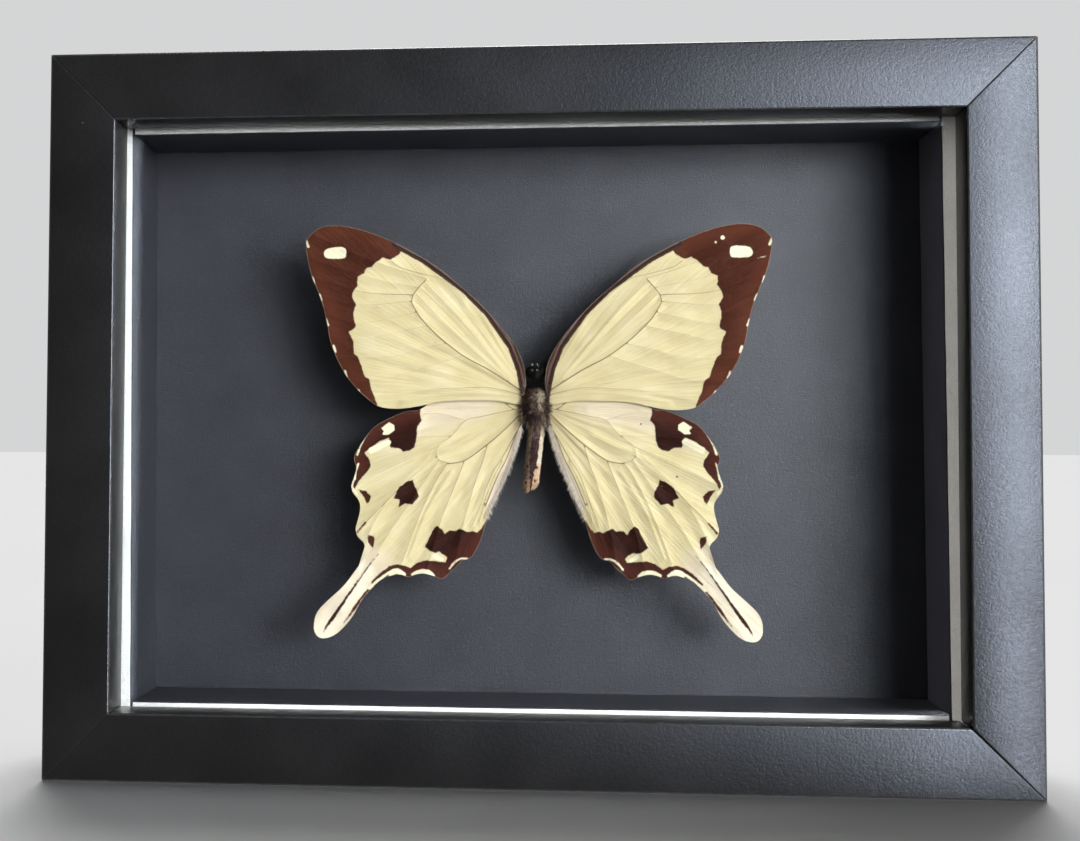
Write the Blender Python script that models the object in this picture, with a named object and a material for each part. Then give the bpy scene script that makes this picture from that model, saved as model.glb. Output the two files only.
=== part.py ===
"""Framed butterfly specimen: a spread swallowtail in a 13 x 18 cm black box frame.

Metres, +Z up, front towards -Y. The origin is the middle of the frame's footprint, on the
surface that its long bottom edge stands on.
"""

import math

import bmesh
import bpy
from mathutils import Matrix, Vector

# Driving dimensions
GAP = 0.0003            # clearance between pieces that touch
FRAME_WIDTH = 0.200
FRAME_HEIGHT = 0.150
FRAME_DEPTH = 0.038
FACE_WIDTH = 0.014      # flat front face of the moulding
LIP_OVERLAP = 0.0045    # how far the lip covers the glass
LIP_DEPTH = 0.008
ARRIS = 0.0005          # radius of the moulding's front edges
GLASS_SIZE = (0.180, 0.130, 0.002)
BOARD_THICKNESS = 0.005
SPACER_DEPTH = 0.0171
SPACER_WIDTH = 0.1790     # outside its two uprights
UPRIGHT_HEIGHT = 0.1296
UPRIGHT_LEAN = math.radians(-0.40)
UPRIGHT_SLIP = -0.0004    # both uprights sit a little to the left
TOP_STRIP = (0.06265, math.radians(-0.11))   # (height above the middle, turn)
BOTTOM_STRIP = (-0.0623, 0.0)
MOUNT_SIZE = (0.180, 0.130)
PANEL_THICKNESS = 0.0025
TAB_LENGTH = 0.011
TAB_WIDTH = 0.007
TAB_THICKNESS = 0.0005
TAB_SPREAD = 0.052      # level tabs, out from the middle
HANGER_HEIGHT = 0.036   # its foot, above the middle of the frame
HANGER_THICKNESS = 0.0008
HANGER_RIVET_HEIGHT = 0.0035
HOOK_OPENING = ((-0.007, 0.007), (0.007, 0.007), (0.0, 0.0155))
RIVET_RADIUS = 0.0013
CUTTER_DEPTH = 0.006

# Where the layers lie, from the front of the frame to its back
FRONT = -FRAME_DEPTH / 2
CENTRE_HEIGHT = FRAME_HEIGHT / 2
GLASS_FRONT = FRONT + LIP_DEPTH + GAP
SPACER_FRONT = GLASS_FRONT + GLASS_SIZE[2] + GAP
MOUNT_FRONT = SPACER_FRONT + SPACER_DEPTH + GAP
PANEL_FRONT = MOUNT_FRONT + BOARD_THICKNESS + GAP
PANEL_BACK = PANEL_FRONT + PANEL_THICKNESS

# The butterfly's place: its body's middle line and the depth of each layer
SPECIMEN = Vector((0.0006, 0.0, CENTRE_HEIGHT))
BODY_DEPTH = -0.0022
FOREWING_DEPTH = -0.0042
HINDWING_DEPTH = -0.0033
WING_THICKNESS = 0.0005
WING_RISE = 0.055       # how steeply the wings rise towards the glass
POST_RADIUS = 0.002


def material(name, colour, roughness, metallic=0.0, transmission=0.0):
    """A Principled material."""
    made = bpy.data.materials.new(name)
    made.use_nodes = True
    shader = made.node_tree.nodes["Principled BSDF"]
    shader.inputs["Base Color"].default_value = (*colour, 1.0)
    shader.inputs["Roughness"].default_value = roughness
    shader.inputs["Metallic"].default_value = metallic
    shader.inputs["Transmission Weight"].default_value = transmission
    return made


def add_object(name, mesh, finish, location=(0, 0, 0), turn=0.0):
    """An object from a mesh, turned about the front-to-back axis."""
    made = bpy.data.objects.new(name, mesh)
    bpy.context.scene.collection.objects.link(made)
    made.location = location
    made.rotation_euler = (0, turn, 0)
    made.data.materials.clear()
    made.data.materials.append(finish)
    return made


def finish_mesh(name, shape, smooth=False):
    """Turns a bmesh into a mesh whose faces all point out."""
    bmesh.ops.recalc_face_normals(shape, faces=shape.faces[:])
    mesh = bpy.data.meshes.new(name)
    shape.to_mesh(mesh)
    shape.free()
    if smooth:
        mesh.shade_smooth()
        mesh.set_sharp_from_angle(angle=math.radians(40))
    return mesh


def block(name, width, depth, height):
    """A box with its middle at the origin."""
    shape = bmesh.new()
    bmesh.ops.create_cube(shape, size=1.0)
    bmesh.ops.scale(shape, vec=(width, depth, height), verts=shape.verts[:])
    return finish_mesh(name, shape)


def plate(name, outline, thickness, rise=0.0):
    """A flat plate from an outline of (x, z) points, front face at y = 0.

    rise lifts the plate towards the front by that share of its distance from x = 0.
    """
    shape = bmesh.new()
    front = [shape.verts.new((x, -rise * abs(x), z)) for x, z in outline]
    back = [shape.verts.new((v.co.x, v.co.y + thickness, v.co.z)) for v in front]
    shape.faces.new(front)
    shape.faces.new(reversed(back))
    for i in range(len(outline)):
        shape.faces.new((front[i - 1], front[i], back[i], back[i - 1]))
    return finish_mesh(name, shape)


def turned(name, profile, sides):
    """A solid turned about Z from (radius, height) points that start and end on the axis."""
    shape = bmesh.new()
    verts = [shape.verts.new((radius, 0, height)) for radius, height in profile]
    edges = [shape.edges.new(pair) for pair in zip(verts, verts[1:])]
    bmesh.ops.spin(
        shape,
        geom=verts + edges,
        axis=(0, 0, 1),
        cent=(0, 0, 0),
        angle=math.tau,
        steps=sides,
        use_duplicate=False,
    )
    bmesh.ops.remove_doubles(shape, verts=shape.verts[:], dist=1e-6)
    return finish_mesh(name, shape, smooth=True)


def smooth_outline(points, steps):
    """A smooth closed curve through points, as a list with steps points to each span."""
    curve = []
    count = len(points)
    for i in range(count):
        a, b, c, d = (Vector(points[(i + k) % count]) for k in (-1, 0, 1, 2))
        for step in range(steps):
            t = step / steps
            spot = 0.5 * (
                2 * b
                + (c - a) * t
                + (2 * a - 5 * b + 4 * c - d) * t**2
                + (3 * b - a - 3 * c + d) * t**3
            )
            curve.append((spot.x, spot.y))
    return curve


# Frame: four mitred lengths of one rabbeted moulding


def moulding_profile():
    """The moulding's section as (distance in from the outer edge, depth) points."""
    inner = FACE_WIDTH - LIP_OVERLAP
    back = FRONT + FRAME_DEPTH
    section = []
    for middle, start in ((ARRIS, 180), (FACE_WIDTH - ARRIS, 270)):
        for step in range(4):
            angle = math.radians(start + 30 * step)
            section.append(
                (middle + ARRIS * math.cos(angle), FRONT + ARRIS + ARRIS * math.sin(angle))
            )
    section += [
        (FACE_WIDTH, FRONT + LIP_DEPTH),
        (inner, FRONT + LIP_DEPTH),
        (inner, back),
        (0.0, back),
    ]
    return section


def moulding(name, length):
    """One length, lying as the bottom of the frame with its outer edge at z = 0."""
    shape = bmesh.new()
    ends = []
    section = moulding_profile()
    for side in (-1, 1):
        ends.append(
            [
                shape.verts.new((side * (length / 2 - inset - GAP / 2), depth, inset))
                for inset, depth in section
            ]
        )
    left, right = ends
    shape.faces.new(left)
    shape.faces.new(reversed(right))
    for i in range(len(section)):
        shape.faces.new((left[i - 1], left[i], right[i], right[i - 1]))
    bmesh.ops.triangulate(shape, faces=shape.faces[:])
    return finish_mesh(name, shape)


def make_frame():
    foil = material("black_foil", (0.018, 0.018, 0.020), 0.38)
    half_width, half_height = FRAME_WIDTH / 2, FRAME_HEIGHT / 2
    members = (
        ("frame_bottom", FRAME_WIDTH, (0, 0, 0), 0),
        ("frame_top", FRAME_WIDTH, (0, 0, FRAME_HEIGHT), 180),
        ("frame_left", FRAME_HEIGHT, (-half_width, 0, half_height), 90),
        ("frame_right", FRAME_HEIGHT, (half_width, 0, half_height), -90),
    )
    for name, length, location, turn in members:
        add_object(name, moulding(name, length), foil, location, math.radians(turn))


# Glazing and boards, which lie in the rabbet one behind the other


def make_glazing():
    width, height, thickness = GLASS_SIZE
    glass = material("clear_glass", (0.95, 0.98, 0.97), 0.02, transmission=1.0)
    pane = block("glass_pane", width, thickness, height)
    add_object("glass_pane", pane, glass, (0, GLASS_FRONT + thickness / 2, CENTRE_HEIGHT))


def make_spacer():
    """Four strips: the upright ones run full height, the level ones fit between them."""
    core = material("foam_board", (0.80, 0.79, 0.76), 0.85)
    depth = SPACER_FRONT + SPACER_DEPTH / 2
    out_x = (SPACER_WIDTH - BOARD_THICKNESS) / 2
    for side, name in ((-1, "spacer_left"), (1, "spacer_right")):
        strip = block(name, BOARD_THICKNESS, SPACER_DEPTH, UPRIGHT_HEIGHT)
        spot = (side * out_x + UPRIGHT_SLIP, depth, CENTRE_HEIGHT)
        add_object(name, strip, core, spot, UPRIGHT_LEAN)
    level = SPACER_WIDTH - 2 * BOARD_THICKNESS - 2 * GAP
    for name, (height, turn) in (("spacer_top", TOP_STRIP), ("spacer_bottom", BOTTOM_STRIP)):
        strip = block(name, level, SPACER_DEPTH, BOARD_THICKNESS)
        between_uprights = UPRIGHT_SLIP + height * math.tan(UPRIGHT_LEAN)
        add_object(name, strip, core, (between_uprights, depth, CENTRE_HEIGHT + height), turn)


def make_backing():
    charcoal = material("charcoal_card", (0.060, 0.064, 0.078), 0.80)
    hardboard = material("hardboard", (0.30, 0.19, 0.11), 0.75)
    width, height = MOUNT_SIZE
    board = block("mount_board", width, BOARD_THICKNESS, height)
    spot = (0, MOUNT_FRONT + BOARD_THICKNESS / 2, CENTRE_HEIGHT)
    add_object("mount_board", board, charcoal, spot)
    panel = block("back_panel", width, PANEL_THICKNESS, height)
    spot = (0, PANEL_FRONT + PANEL_THICKNESS / 2, CENTRE_HEIGHT)
    add_object("back_panel", panel, hardboard, spot)


# Hardware on the back


def tab_outline():
    """A bendable point: square at its root, round at its tip, pointing up from z = 0."""
    half = TAB_WIDTH / 2
    straight = TAB_LENGTH - half
    round_end = [
        (half * math.cos(math.radians(a)), straight + half * math.sin(math.radians(a)))
        for a in range(0, 181, 20)
    ]
    return [(-half, 0.0), (half, 0.0), *round_end]


def make_tabs():
    steel = material("tab_steel", (0.42, 0.42, 0.43), 0.35, metallic=1.0)
    depth = PANEL_BACK + GAP
    rabbet_x = FRAME_WIDTH / 2 - FACE_WIDTH + LIP_OVERLAP - GAP
    rabbet_z = FRAME_HEIGHT / 2 - FACE_WIDTH + LIP_OVERLAP - GAP
    tabs = (
        ("tab_bottom_left", -TAB_SPREAD, -rabbet_z, 0),
        ("tab_bottom_right", TAB_SPREAD, -rabbet_z, 0),
        ("tab_top_left", -TAB_SPREAD, rabbet_z, 180),
        ("tab_top_right", TAB_SPREAD, rabbet_z, 180),
        ("tab_left", -rabbet_x, 0, 90),
        ("tab_right", rabbet_x, 0, -90),
    )
    for name, x, z, turn in tabs:
        shape = plate(name, tab_outline(), TAB_THICKNESS)
        add_object(name, shape, steel, (x, depth, CENTRE_HEIGHT + z), math.radians(turn))


def make_hanger():
    """A stamped steel plate with a triangular opening for a wall hook, on one rivet."""
    brass = material("hanger_brass", (0.62, 0.50, 0.26), 0.32, metallic=1.0)
    foot = Vector((0, PANEL_BACK + GAP, CENTRE_HEIGHT + HANGER_HEIGHT))
    rivet_spot = foot + Vector((0, 0, HANGER_RIVET_HEIGHT))
    right_side = ((0.013, 0.0), (0.014, 0.002), (0.004, 0.018))
    outline = [*right_side, *((-x, z) for x, z in reversed(right_side))]
    hanger = add_object("hanger_plate", plate("hanger_plate", outline, HANGER_THICKNESS), brass, foot)

    hook_opening = plate("hook_opening", HOOK_OPENING, CUTTER_DEPTH)
    opening = add_object("hook_opening", hook_opening, brass, foot)
    opening.location.y -= CUTTER_DEPTH / 2
    hole_radius = RIVET_RADIUS + GAP
    half = CUTTER_DEPTH / 2
    profile = [(0, -half), (hole_radius, -half), (hole_radius, half), (0, half)]
    hole = add_object("rivet_hole", turned("rivet_hole", profile, 16), brass, rivet_spot)
    hole.rotation_euler = (math.radians(-90), 0, 0)
    for cutter in (opening, hole):
        cutter.hide_render = True
        cutter.display_type = "WIRE"
        cut = hanger.modifiers.new("Cut", "BOOLEAN")
        cut.operation = "DIFFERENCE"
        cut.object = cutter

    head = HANGER_THICKNESS + GAP
    profile = [
        (0, 0),
        (RIVET_RADIUS, 0),
        (RIVET_RADIUS, head),
        (2 * RIVET_RADIUS, head),
        (1.8 * RIVET_RADIUS, head + 0.25 * RIVET_RADIUS),
        (RIVET_RADIUS, head + 0.4 * RIVET_RADIUS),
        (0, head + 0.45 * RIVET_RADIUS),
    ]
    rivet = add_object("hanger_rivet", turned("hanger_rivet", profile, 16), brass, rivet_spot)
    rivet.rotation_euler = (math.radians(-90), 0, 0)


# The butterfly. Outlines are for the right wings, in millimetres from the body's middle line
# and the middle of the frame, and the left wings are their mirror images.

FOREWING = (
    (2.8, 6.2), (3.4, 11.6), (7.3, 19.1), (13.8, 26.0), (20.8, 31.8), (29.6, 37.1),
    (38.8, 40.5), (43.6, 41.2), (48.0, 39.8), (49.6, 37.0), (48.5, 31.0), (46.0, 24.6),
    (44.3, 17.0), (41.0, 9.2), (36.2, 3.8), (31.0, 1.6), (24.5, 2.2), (14.0, 3.4), (3.6, 3.2),
)
HINDWING = (
    (3.3, 1.8), (11.0, 4.6), (19.0, 4.0), (27.4, 1.2), (32.5, -1.0), (36.0, -3.8),
    (38.8, -8.6), (39.4, -15.0), (37.8, -20.0), (38.3, -24.8), (36.7, -28.6), (38.8, -33.4),
    (44.0, -39.2), (47.2, -43.4), (46.8, -47.2), (43.2, -47.1), (39.0, -42.6), (35.2, -37.3),
    (31.2, -34.6), (26.0, -34.5), (20.0, -34.7), (16.0, -31.2), (12.4, -28.2), (9.8, -20.8),
    (6.4, -13.6), (3.9, -6.4),
)


def make_wings():
    scales = material("wing_scales", (0.86, 0.80, 0.55), 0.70)
    pairs = (("forewing", FOREWING, FOREWING_DEPTH), ("hindwing", HINDWING, HINDWING_DEPTH))
    for kind, points, depth in pairs:
        for side, word in ((-1, "left"), (1, "right")):
            name = f"{kind}_{word}"
            curve = smooth_outline(points, 3)
            outline = [(side * x / 1000, z / 1000) for x, z in curve]
            shape = plate(name, outline, WING_THICKNESS, WING_RISE)
            add_object(name, shape, scales, SPECIMEN + Vector((0, depth, 0)))


def egg(name, width, depth, height):
    """An ellipsoid about the origin."""
    shape = bmesh.new()
    bmesh.ops.create_uvsphere(shape, u_segments=20, v_segments=12, radius=1.0)
    bmesh.ops.scale(shape, vec=(width / 2, depth / 2, height / 2), verts=shape.verts[:])
    return finish_mesh(name, shape, smooth=True)


def abdomen_mesh():
    """A tapering abdomen that hangs from the origin and leans slightly to the left."""
    length, widest, lean = 0.0158, 0.0022, 0.07
    profile = []
    for step in range(13):
        t = step / 12
        radius = widest * math.sin(math.pi * min(1.0, 0.06 + t * 0.94)) ** 0.42
        radius *= 1.0 - 0.28 * t
        profile.append((0.0 if step in (0, 12) else radius, -length * t))
    mesh = turned("abdomen", list(reversed(profile)), 18)
    mesh.transform(Matrix(((1, 0, lean, 0), (0, 1, 0, 0), (0, 0, 1, 0), (0, 0, 0, 1))))
    return mesh


def make_body():
    chitin = material("dark_chitin", (0.030, 0.022, 0.018), 0.60)
    fur = material("body_fur", (0.10, 0.080, 0.060), 0.90)
    belly = material("abdomen_scales", (0.45, 0.38, 0.24), 0.85)
    foam = material("plug_foam", (0.05, 0.05, 0.06), 0.90)
    thorax_depth = 0.0064
    thorax_middle = SPECIMEN + Vector((0, BODY_DEPTH, 0.0024))
    add_object("thorax", egg("thorax", 0.0060, thorax_depth, 0.0078), fur, thorax_middle)
    head_middle = SPECIMEN + Vector((0, BODY_DEPTH - 0.0002, 0.0092))
    add_object("head", egg("head", 0.0042, 0.0038, 0.0050), chitin, head_middle)
    neck = SPECIMEN + Vector((0, BODY_DEPTH, -0.0018))
    add_object("abdomen", abdomen_mesh(), belly, neck)
    top = thorax_middle.y + thorax_depth / 2 + GAP
    reach = MOUNT_FRONT - GAP - top
    plug = turned("support_post", [(0, 0), (POST_RADIUS, 0), (POST_RADIUS, reach), (0, reach)], 20)
    post = add_object("support_post", plug, foam, (thorax_middle.x, top, thorax_middle.z))
    post.rotation_euler = (math.radians(-90), 0, 0)


for old in list(bpy.data.objects):
    bpy.data.objects.remove(old, do_unlink=True)
make_frame()
make_glazing()
make_spacer()
make_backing()
make_tabs()
make_hanger()
make_wings()
make_body()
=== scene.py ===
import math
import random

import bmesh
import bpy
import numpy as np
from mathutils import Matrix, Vector, geometry, noise


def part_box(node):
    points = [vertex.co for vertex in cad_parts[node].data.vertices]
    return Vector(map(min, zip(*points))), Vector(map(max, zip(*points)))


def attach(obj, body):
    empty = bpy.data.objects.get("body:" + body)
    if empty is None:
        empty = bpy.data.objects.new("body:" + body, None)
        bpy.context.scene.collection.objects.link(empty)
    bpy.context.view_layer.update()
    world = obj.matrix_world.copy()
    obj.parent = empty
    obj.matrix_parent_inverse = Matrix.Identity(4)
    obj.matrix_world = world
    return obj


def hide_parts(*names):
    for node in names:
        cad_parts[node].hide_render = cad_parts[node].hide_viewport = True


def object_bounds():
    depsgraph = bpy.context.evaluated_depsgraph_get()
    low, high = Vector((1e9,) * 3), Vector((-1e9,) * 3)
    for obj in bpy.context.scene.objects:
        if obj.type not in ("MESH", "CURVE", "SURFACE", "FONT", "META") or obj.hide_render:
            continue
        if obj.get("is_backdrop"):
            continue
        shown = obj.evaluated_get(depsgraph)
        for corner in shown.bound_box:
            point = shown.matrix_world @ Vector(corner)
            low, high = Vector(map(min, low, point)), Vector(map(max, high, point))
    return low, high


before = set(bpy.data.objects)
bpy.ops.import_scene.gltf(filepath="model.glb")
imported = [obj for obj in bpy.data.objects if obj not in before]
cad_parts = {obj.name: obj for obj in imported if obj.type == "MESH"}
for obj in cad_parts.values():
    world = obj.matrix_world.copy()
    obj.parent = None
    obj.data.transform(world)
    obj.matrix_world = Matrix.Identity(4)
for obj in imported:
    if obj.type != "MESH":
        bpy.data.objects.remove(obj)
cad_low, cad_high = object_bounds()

# Mouldings. Four lengths of rabbeted wood-fibre moulding, wrapped in satin black foil with a
# fine grain. They are mitred at 45 degrees, glued and pinned, and each joint shows a hairline,
# its foil painted lighter as a painted glint.

MM = 0.001
FRAME_HEIGHT = cad_high.z
GLASS_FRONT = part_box("glass_pane")[0].y
LIP_BACK = GLASS_FRONT - 0.3 * MM
FACE_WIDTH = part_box("frame_left")[1].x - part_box("frame_left")[0].x
RABBET_WALL = cad_high.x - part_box("glass_pane")[1].x - 0.5 * MM
MITRE_GAP = 0.035 * MM


def new_piece(name, mesh, node, slot, *materials):
    """An object that rides on the body, stands for its CAD node and has its materials. slot is not used."""
    piece = bpy.data.objects.new(name, mesh)
    bpy.context.scene.collection.objects.link(piece)
    for finish in materials:
        mesh.materials.append(finish)
    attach(piece, "root")
    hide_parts(node)
    return piece


def mesh_from(name, shape, smooth_below=None):
    """A mesh from a bmesh. Edges sharper than smooth_below degrees stay sharp."""
    bmesh.ops.recalc_face_normals(shape, faces=shape.faces[:])
    mesh = bpy.data.meshes.new(name)
    shape.to_mesh(mesh)
    shape.free()
    if smooth_below:
        mesh.shade_smooth()
        mesh.set_sharp_from_angle(angle=math.radians(smooth_below))
    return mesh


def arc(centre, radius, start, end, steps):
    """Points of a circular arc, with its angles in degrees."""
    turns = [math.radians(start + (end - start) * i / steps) for i in range(steps + 1)]
    return [(centre[0] + radius * math.cos(a), centre[1] + radius * math.sin(a)) for a in turns]


def moulding_section():
    """(distance in from the outer edge, depth, wear) round the section, from the outer back.

    Wear polishes the foil's rounded edges. Below 0, it leaves the lip's inner face duller.
    """
    front, back = cad_low.y, cad_high.y
    outer, sight, eased = 0.55 * MM, 0.45 * MM, 0.30 * MM
    parts = (
        (arc((eased, back - eased), eased, 90, 180, 3), 0.3),
        (arc((outer, front + outer), outer, 180, 270, 6), 1.0),
        (arc((FACE_WIDTH - sight, front + sight), sight, 270, 360, 6), 1.0),
        (arc((FACE_WIDTH - eased, LIP_BACK - eased), eased, 0, 90, 3), 0.4),
        ([(RABBET_WALL, LIP_BACK)], 0.0),
        (arc((RABBET_WALL - eased, back - eased), eased, 0, 90, 3), 0.3),
    )
    section = []
    for points, wear in parts:
        for i, (inset, depth) in enumerate(points):
            flat_wear = -3.0 if inset > FACE_WIDTH - 0.01 * MM else 0.0
            section.append((inset, depth, wear if 0 < i < len(points) - 1 else flat_wear))
    return section


def moulding(name, length, chip=0.0):
    """One length, lying as the bottom rail. chip opens its right mitre at the sight edge."""
    end_steps, even_steps = (0.0, 0.12 * MM, 0.26 * MM, 0.50 * MM), 72
    stations = [(-1, step) for step in end_steps]
    stations += [(2 * i / even_steps - 1, 0.8 * MM) for i in range(even_steps + 1)]
    stations += [(1, step) for step in reversed(end_steps)]
    shape = bmesh.new()
    wear_and_glint_layer = shape.verts.layers.float.new("wear")
    rows = []
    for share, from_end in stations:
        row = []
        for inset, depth, wear in moulding_section():
            reach = length / 2 - inset - MITRE_GAP - from_end
            if share > 0:
                reach -= chip * (inset / FACE_WIDTH) ** 8
            along = share * reach
            on_face = depth < cad_low.y + 0.1 * MM
            swell = 0.02 * MM * (1 + noise.noise(Vector((along * 45, inset * 60, length * 31))))
            near_face = depth < cad_low.y + 0.5 * MM
            ease = 0.05 * MM * max(0.0, 1 - from_end / (0.26 * MM)) ** 2 if near_face else 0.0
            vert = shape.verts.new((along, depth + ease + (swell if on_face else 0.0), inset))
            # Near the mitres the foil is painted lighter: a painted glint along the joint's hairline.
            mitre_glint = from_end < 0.1 * MM and depth < LIP_BACK - 0.5 * MM
            vert[wear_and_glint_layer] = max(wear, 0.8 if mitre_glint else 0.0)
            row.append(vert)
        rows.append(row)
    for low, high in zip(rows, rows[1:]):
        for i in range(len(low)):
            shape.faces.new((low[i - 1], low[i], high[i], high[i - 1]))
    shape.faces.new(rows[0])
    shape.faces.new(rows[-1])
    return mesh_from(name, shape, 40)


def start_material(name, roughness, specular=0.5, metallic=0.0):
    """(material, its node tree) with constant finish values."""
    finish = bpy.data.materials.new(name)
    finish.use_nodes = True
    shader = finish.node_tree.nodes["Principled BSDF"]
    shader.inputs["Roughness"].default_value = roughness
    shader.inputs["Specular IOR Level"].default_value = specular
    shader.inputs["Metallic"].default_value = metallic
    return finish, finish.node_tree


def join(tree, value, socket):
    """Joins an output to a socket, or sets the socket to a plain number or colour."""
    if isinstance(value, bpy.types.NodeSocket):
        tree.links.new(value, socket)
    elif isinstance(value, tuple):
        socket.default_value = (*value, 1.0)
    else:
        socket.default_value = value


def grain(tree, scale, detail=3.0, stretch=(1, 1, 1), roughness=0.5):
    """Noise fixed to the object, with scale in waves per metre."""
    place = tree.nodes.new("ShaderNodeTexCoord").outputs["Object"]
    mapping = tree.nodes.new("ShaderNodeMapping")
    mapping.inputs["Scale"].default_value = stretch
    tree.links.new(place, mapping.inputs["Vector"])
    wave = tree.nodes.new("ShaderNodeTexNoise")
    wave.inputs["Scale"].default_value = scale
    wave.inputs["Detail"].default_value = detail
    wave.inputs["Roughness"].default_value = roughness
    tree.links.new(mapping.outputs["Vector"], wave.inputs["Vector"])
    return wave.outputs["Fac"]


def maths(tree, operation, *values):
    """One Math node."""
    node = tree.nodes.new("ShaderNodeMath")
    node.operation = operation
    for socket, value in zip(node.inputs, values):
        join(tree, value, socket)
    return node.outputs[0]


def between(tree, value, low, high, to_low=0.0, to_high=1.0):
    """A value eased from one range to another and held at both ends."""
    node = tree.nodes.new("ShaderNodeMapRange")
    node.interpolation_type = "SMOOTHSTEP"
    numbers = (value, low, high, to_low, to_high)
    for socket, number in zip(node.inputs, numbers):
        join(tree, number, socket)
    return node.outputs["Result"]


def ramp(tree, value, *stops):
    """A colour ramp through (position, colour) stops."""
    node = tree.nodes.new("ShaderNodeValToRGB")
    elements = node.color_ramp.elements
    while len(elements) < len(stops):
        elements.new(0.5)
    for element, (position, colour) in zip(elements, stops):
        element.position = position
        element.color = (*colour, 1.0)
    tree.links.new(value, node.inputs["Fac"])
    return node.outputs["Color"]


def mix(tree, share, first, second):
    """A colour share of the way from the first to the second."""
    node = tree.nodes.new("ShaderNodeMix")
    node.data_type = "RGBA"
    for index, value in ((0, share), (6, first), (7, second)):
        join(tree, value, node.inputs[index])
    return node.outputs[2]


def coat(finish, colour, roughness=None, height=None, depth=0.0):
    """Gives the material its colour, a varying roughness and a relief of some depth."""
    tree = finish.node_tree
    shader = tree.nodes["Principled BSDF"]
    tree.links.new(colour, shader.inputs["Base Color"])
    if roughness is not None:
        tree.links.new(roughness, shader.inputs["Roughness"])
    if height is not None:
        bump = tree.nodes.new("ShaderNodeBump")
        bump.inputs["Distance"].default_value = depth
        tree.links.new(height, bump.inputs["Height"])
        tree.links.new(bump.outputs["Normal"], shader.inputs["Normal"])
    return finish


def field(tree, name):
    """A number stored on the mesh's points."""
    node = tree.nodes.new("ShaderNodeAttribute")
    node.attribute_name = name
    return node.outputs["Fac"]


def specks(tree, scale, share, size, strength=1.0):
    """Strength inside sparse round specks and 0 outside. share is how many cells hold one."""
    place = tree.nodes.new("ShaderNodeTexCoord").outputs["Object"]
    cell = tree.nodes.new("ShaderNodeTexVoronoi")
    cell.inputs["Scale"].default_value = scale
    tree.links.new(place, cell.inputs["Vector"])
    chosen = maths(tree, "GREATER_THAN", cell.outputs["Color"], 1.0 - share)
    near = between(tree, cell.outputs["Distance"], size * 0.5, size, strength, 0.0)
    return maths(tree, "MULTIPLY", chosen, near)


def stand(mesh, spot, turn=0.0):
    """Turns a mesh about Y, in degrees, and moves it to its spot."""
    mesh.transform(Matrix.Translation(spot) @ Matrix.Rotation(math.radians(turn), 4, "Y"))


def middle(low, high, depth):
    """The middle of a box seen from the front, at some depth."""
    return Vector(((low.x + high.x) / 2, depth, (low.z + high.z) / 2))


def foil_material():
    """Satin black foil: clouded fine grain, rubbed edges, a painted glint at the mitres, a little dust and
    lint.
    """
    finish, tree = start_material("black_foil", 0.36, 0.62)
    cloud = grain(tree, 46, 4.0)
    fine = grain(tree, 1100, 3.0)
    black, lit_black = (0.0115, 0.0110, 0.0110), (0.0170, 0.0162, 0.0160)
    body = ramp(tree, cloud, (0.30, black), (0.75, lit_black))
    # Rubbed edges turn paler, and the mitre ends are painted paler as a glint along the joint.
    rub_and_glint = maths(tree, "MULTIPLY", field(tree, "wear"), grain(tree, 600, 4.0))
    body = mix(tree, maths(tree, "MULTIPLY", rub_and_glint, 0.55), body, (0.10, 0.10, 0.105))
    dust = specks(tree, 150, 0.05, 0.05)
    dust = maths(tree, "MAXIMUM", dust, specks(tree, 420, 0.03, 0.09, 0.6))
    body = mix(tree, maths(tree, "MULTIPLY", dust, 0.55), body, (0.42, 0.42, 0.43))
    polish = between(tree, cloud, 0.25, 0.80, 0.25, 0.30)
    polish = maths(tree, "MULTIPLY_ADD", fine, 0.10, polish)
    burnish = maths(tree, "MULTIPLY_ADD", field(tree, "wear"), -0.13, polish)
    height = maths(tree, "MULTIPLY_ADD", fine, 0.7, grain(tree, 2300))
    height = maths(tree, "MULTIPLY_ADD", grain(tree, 5200), 0.25, height)
    return coat(finish, body, burnish, height, 0.026 * MM)


black_foil = foil_material()
width = cad_high.x - cad_low.x
rails = (
    ("frame_bottom", width, (0, 0, 0), 0, 0.5 * MM),
    ("frame_top", width, (0, 0, FRAME_HEIGHT), 180, 0.0),
    ("frame_left", FRAME_HEIGHT, (cad_low.x, 0, FRAME_HEIGHT / 2), 90, 0.0),
    ("frame_right", FRAME_HEIGHT, (cad_high.x, 0, FRAME_HEIGHT / 2), -90, 0.0),
)
rail_pieces = []
for node, length, spot, turn, chip in rails:
    mesh = moulding(node + "_moulding", length, chip)
    stand(mesh, spot, turn)
    rail_pieces.append(new_piece(node + "_moulding", mesh, node, "black_foil", black_foil))

# Glass. One sheet of 2 mm float glass, cut to size, its sharp edges taken off with a stone.
# It lies loose in the rabbet behind the lip, and its edge shows a little green.


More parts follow.
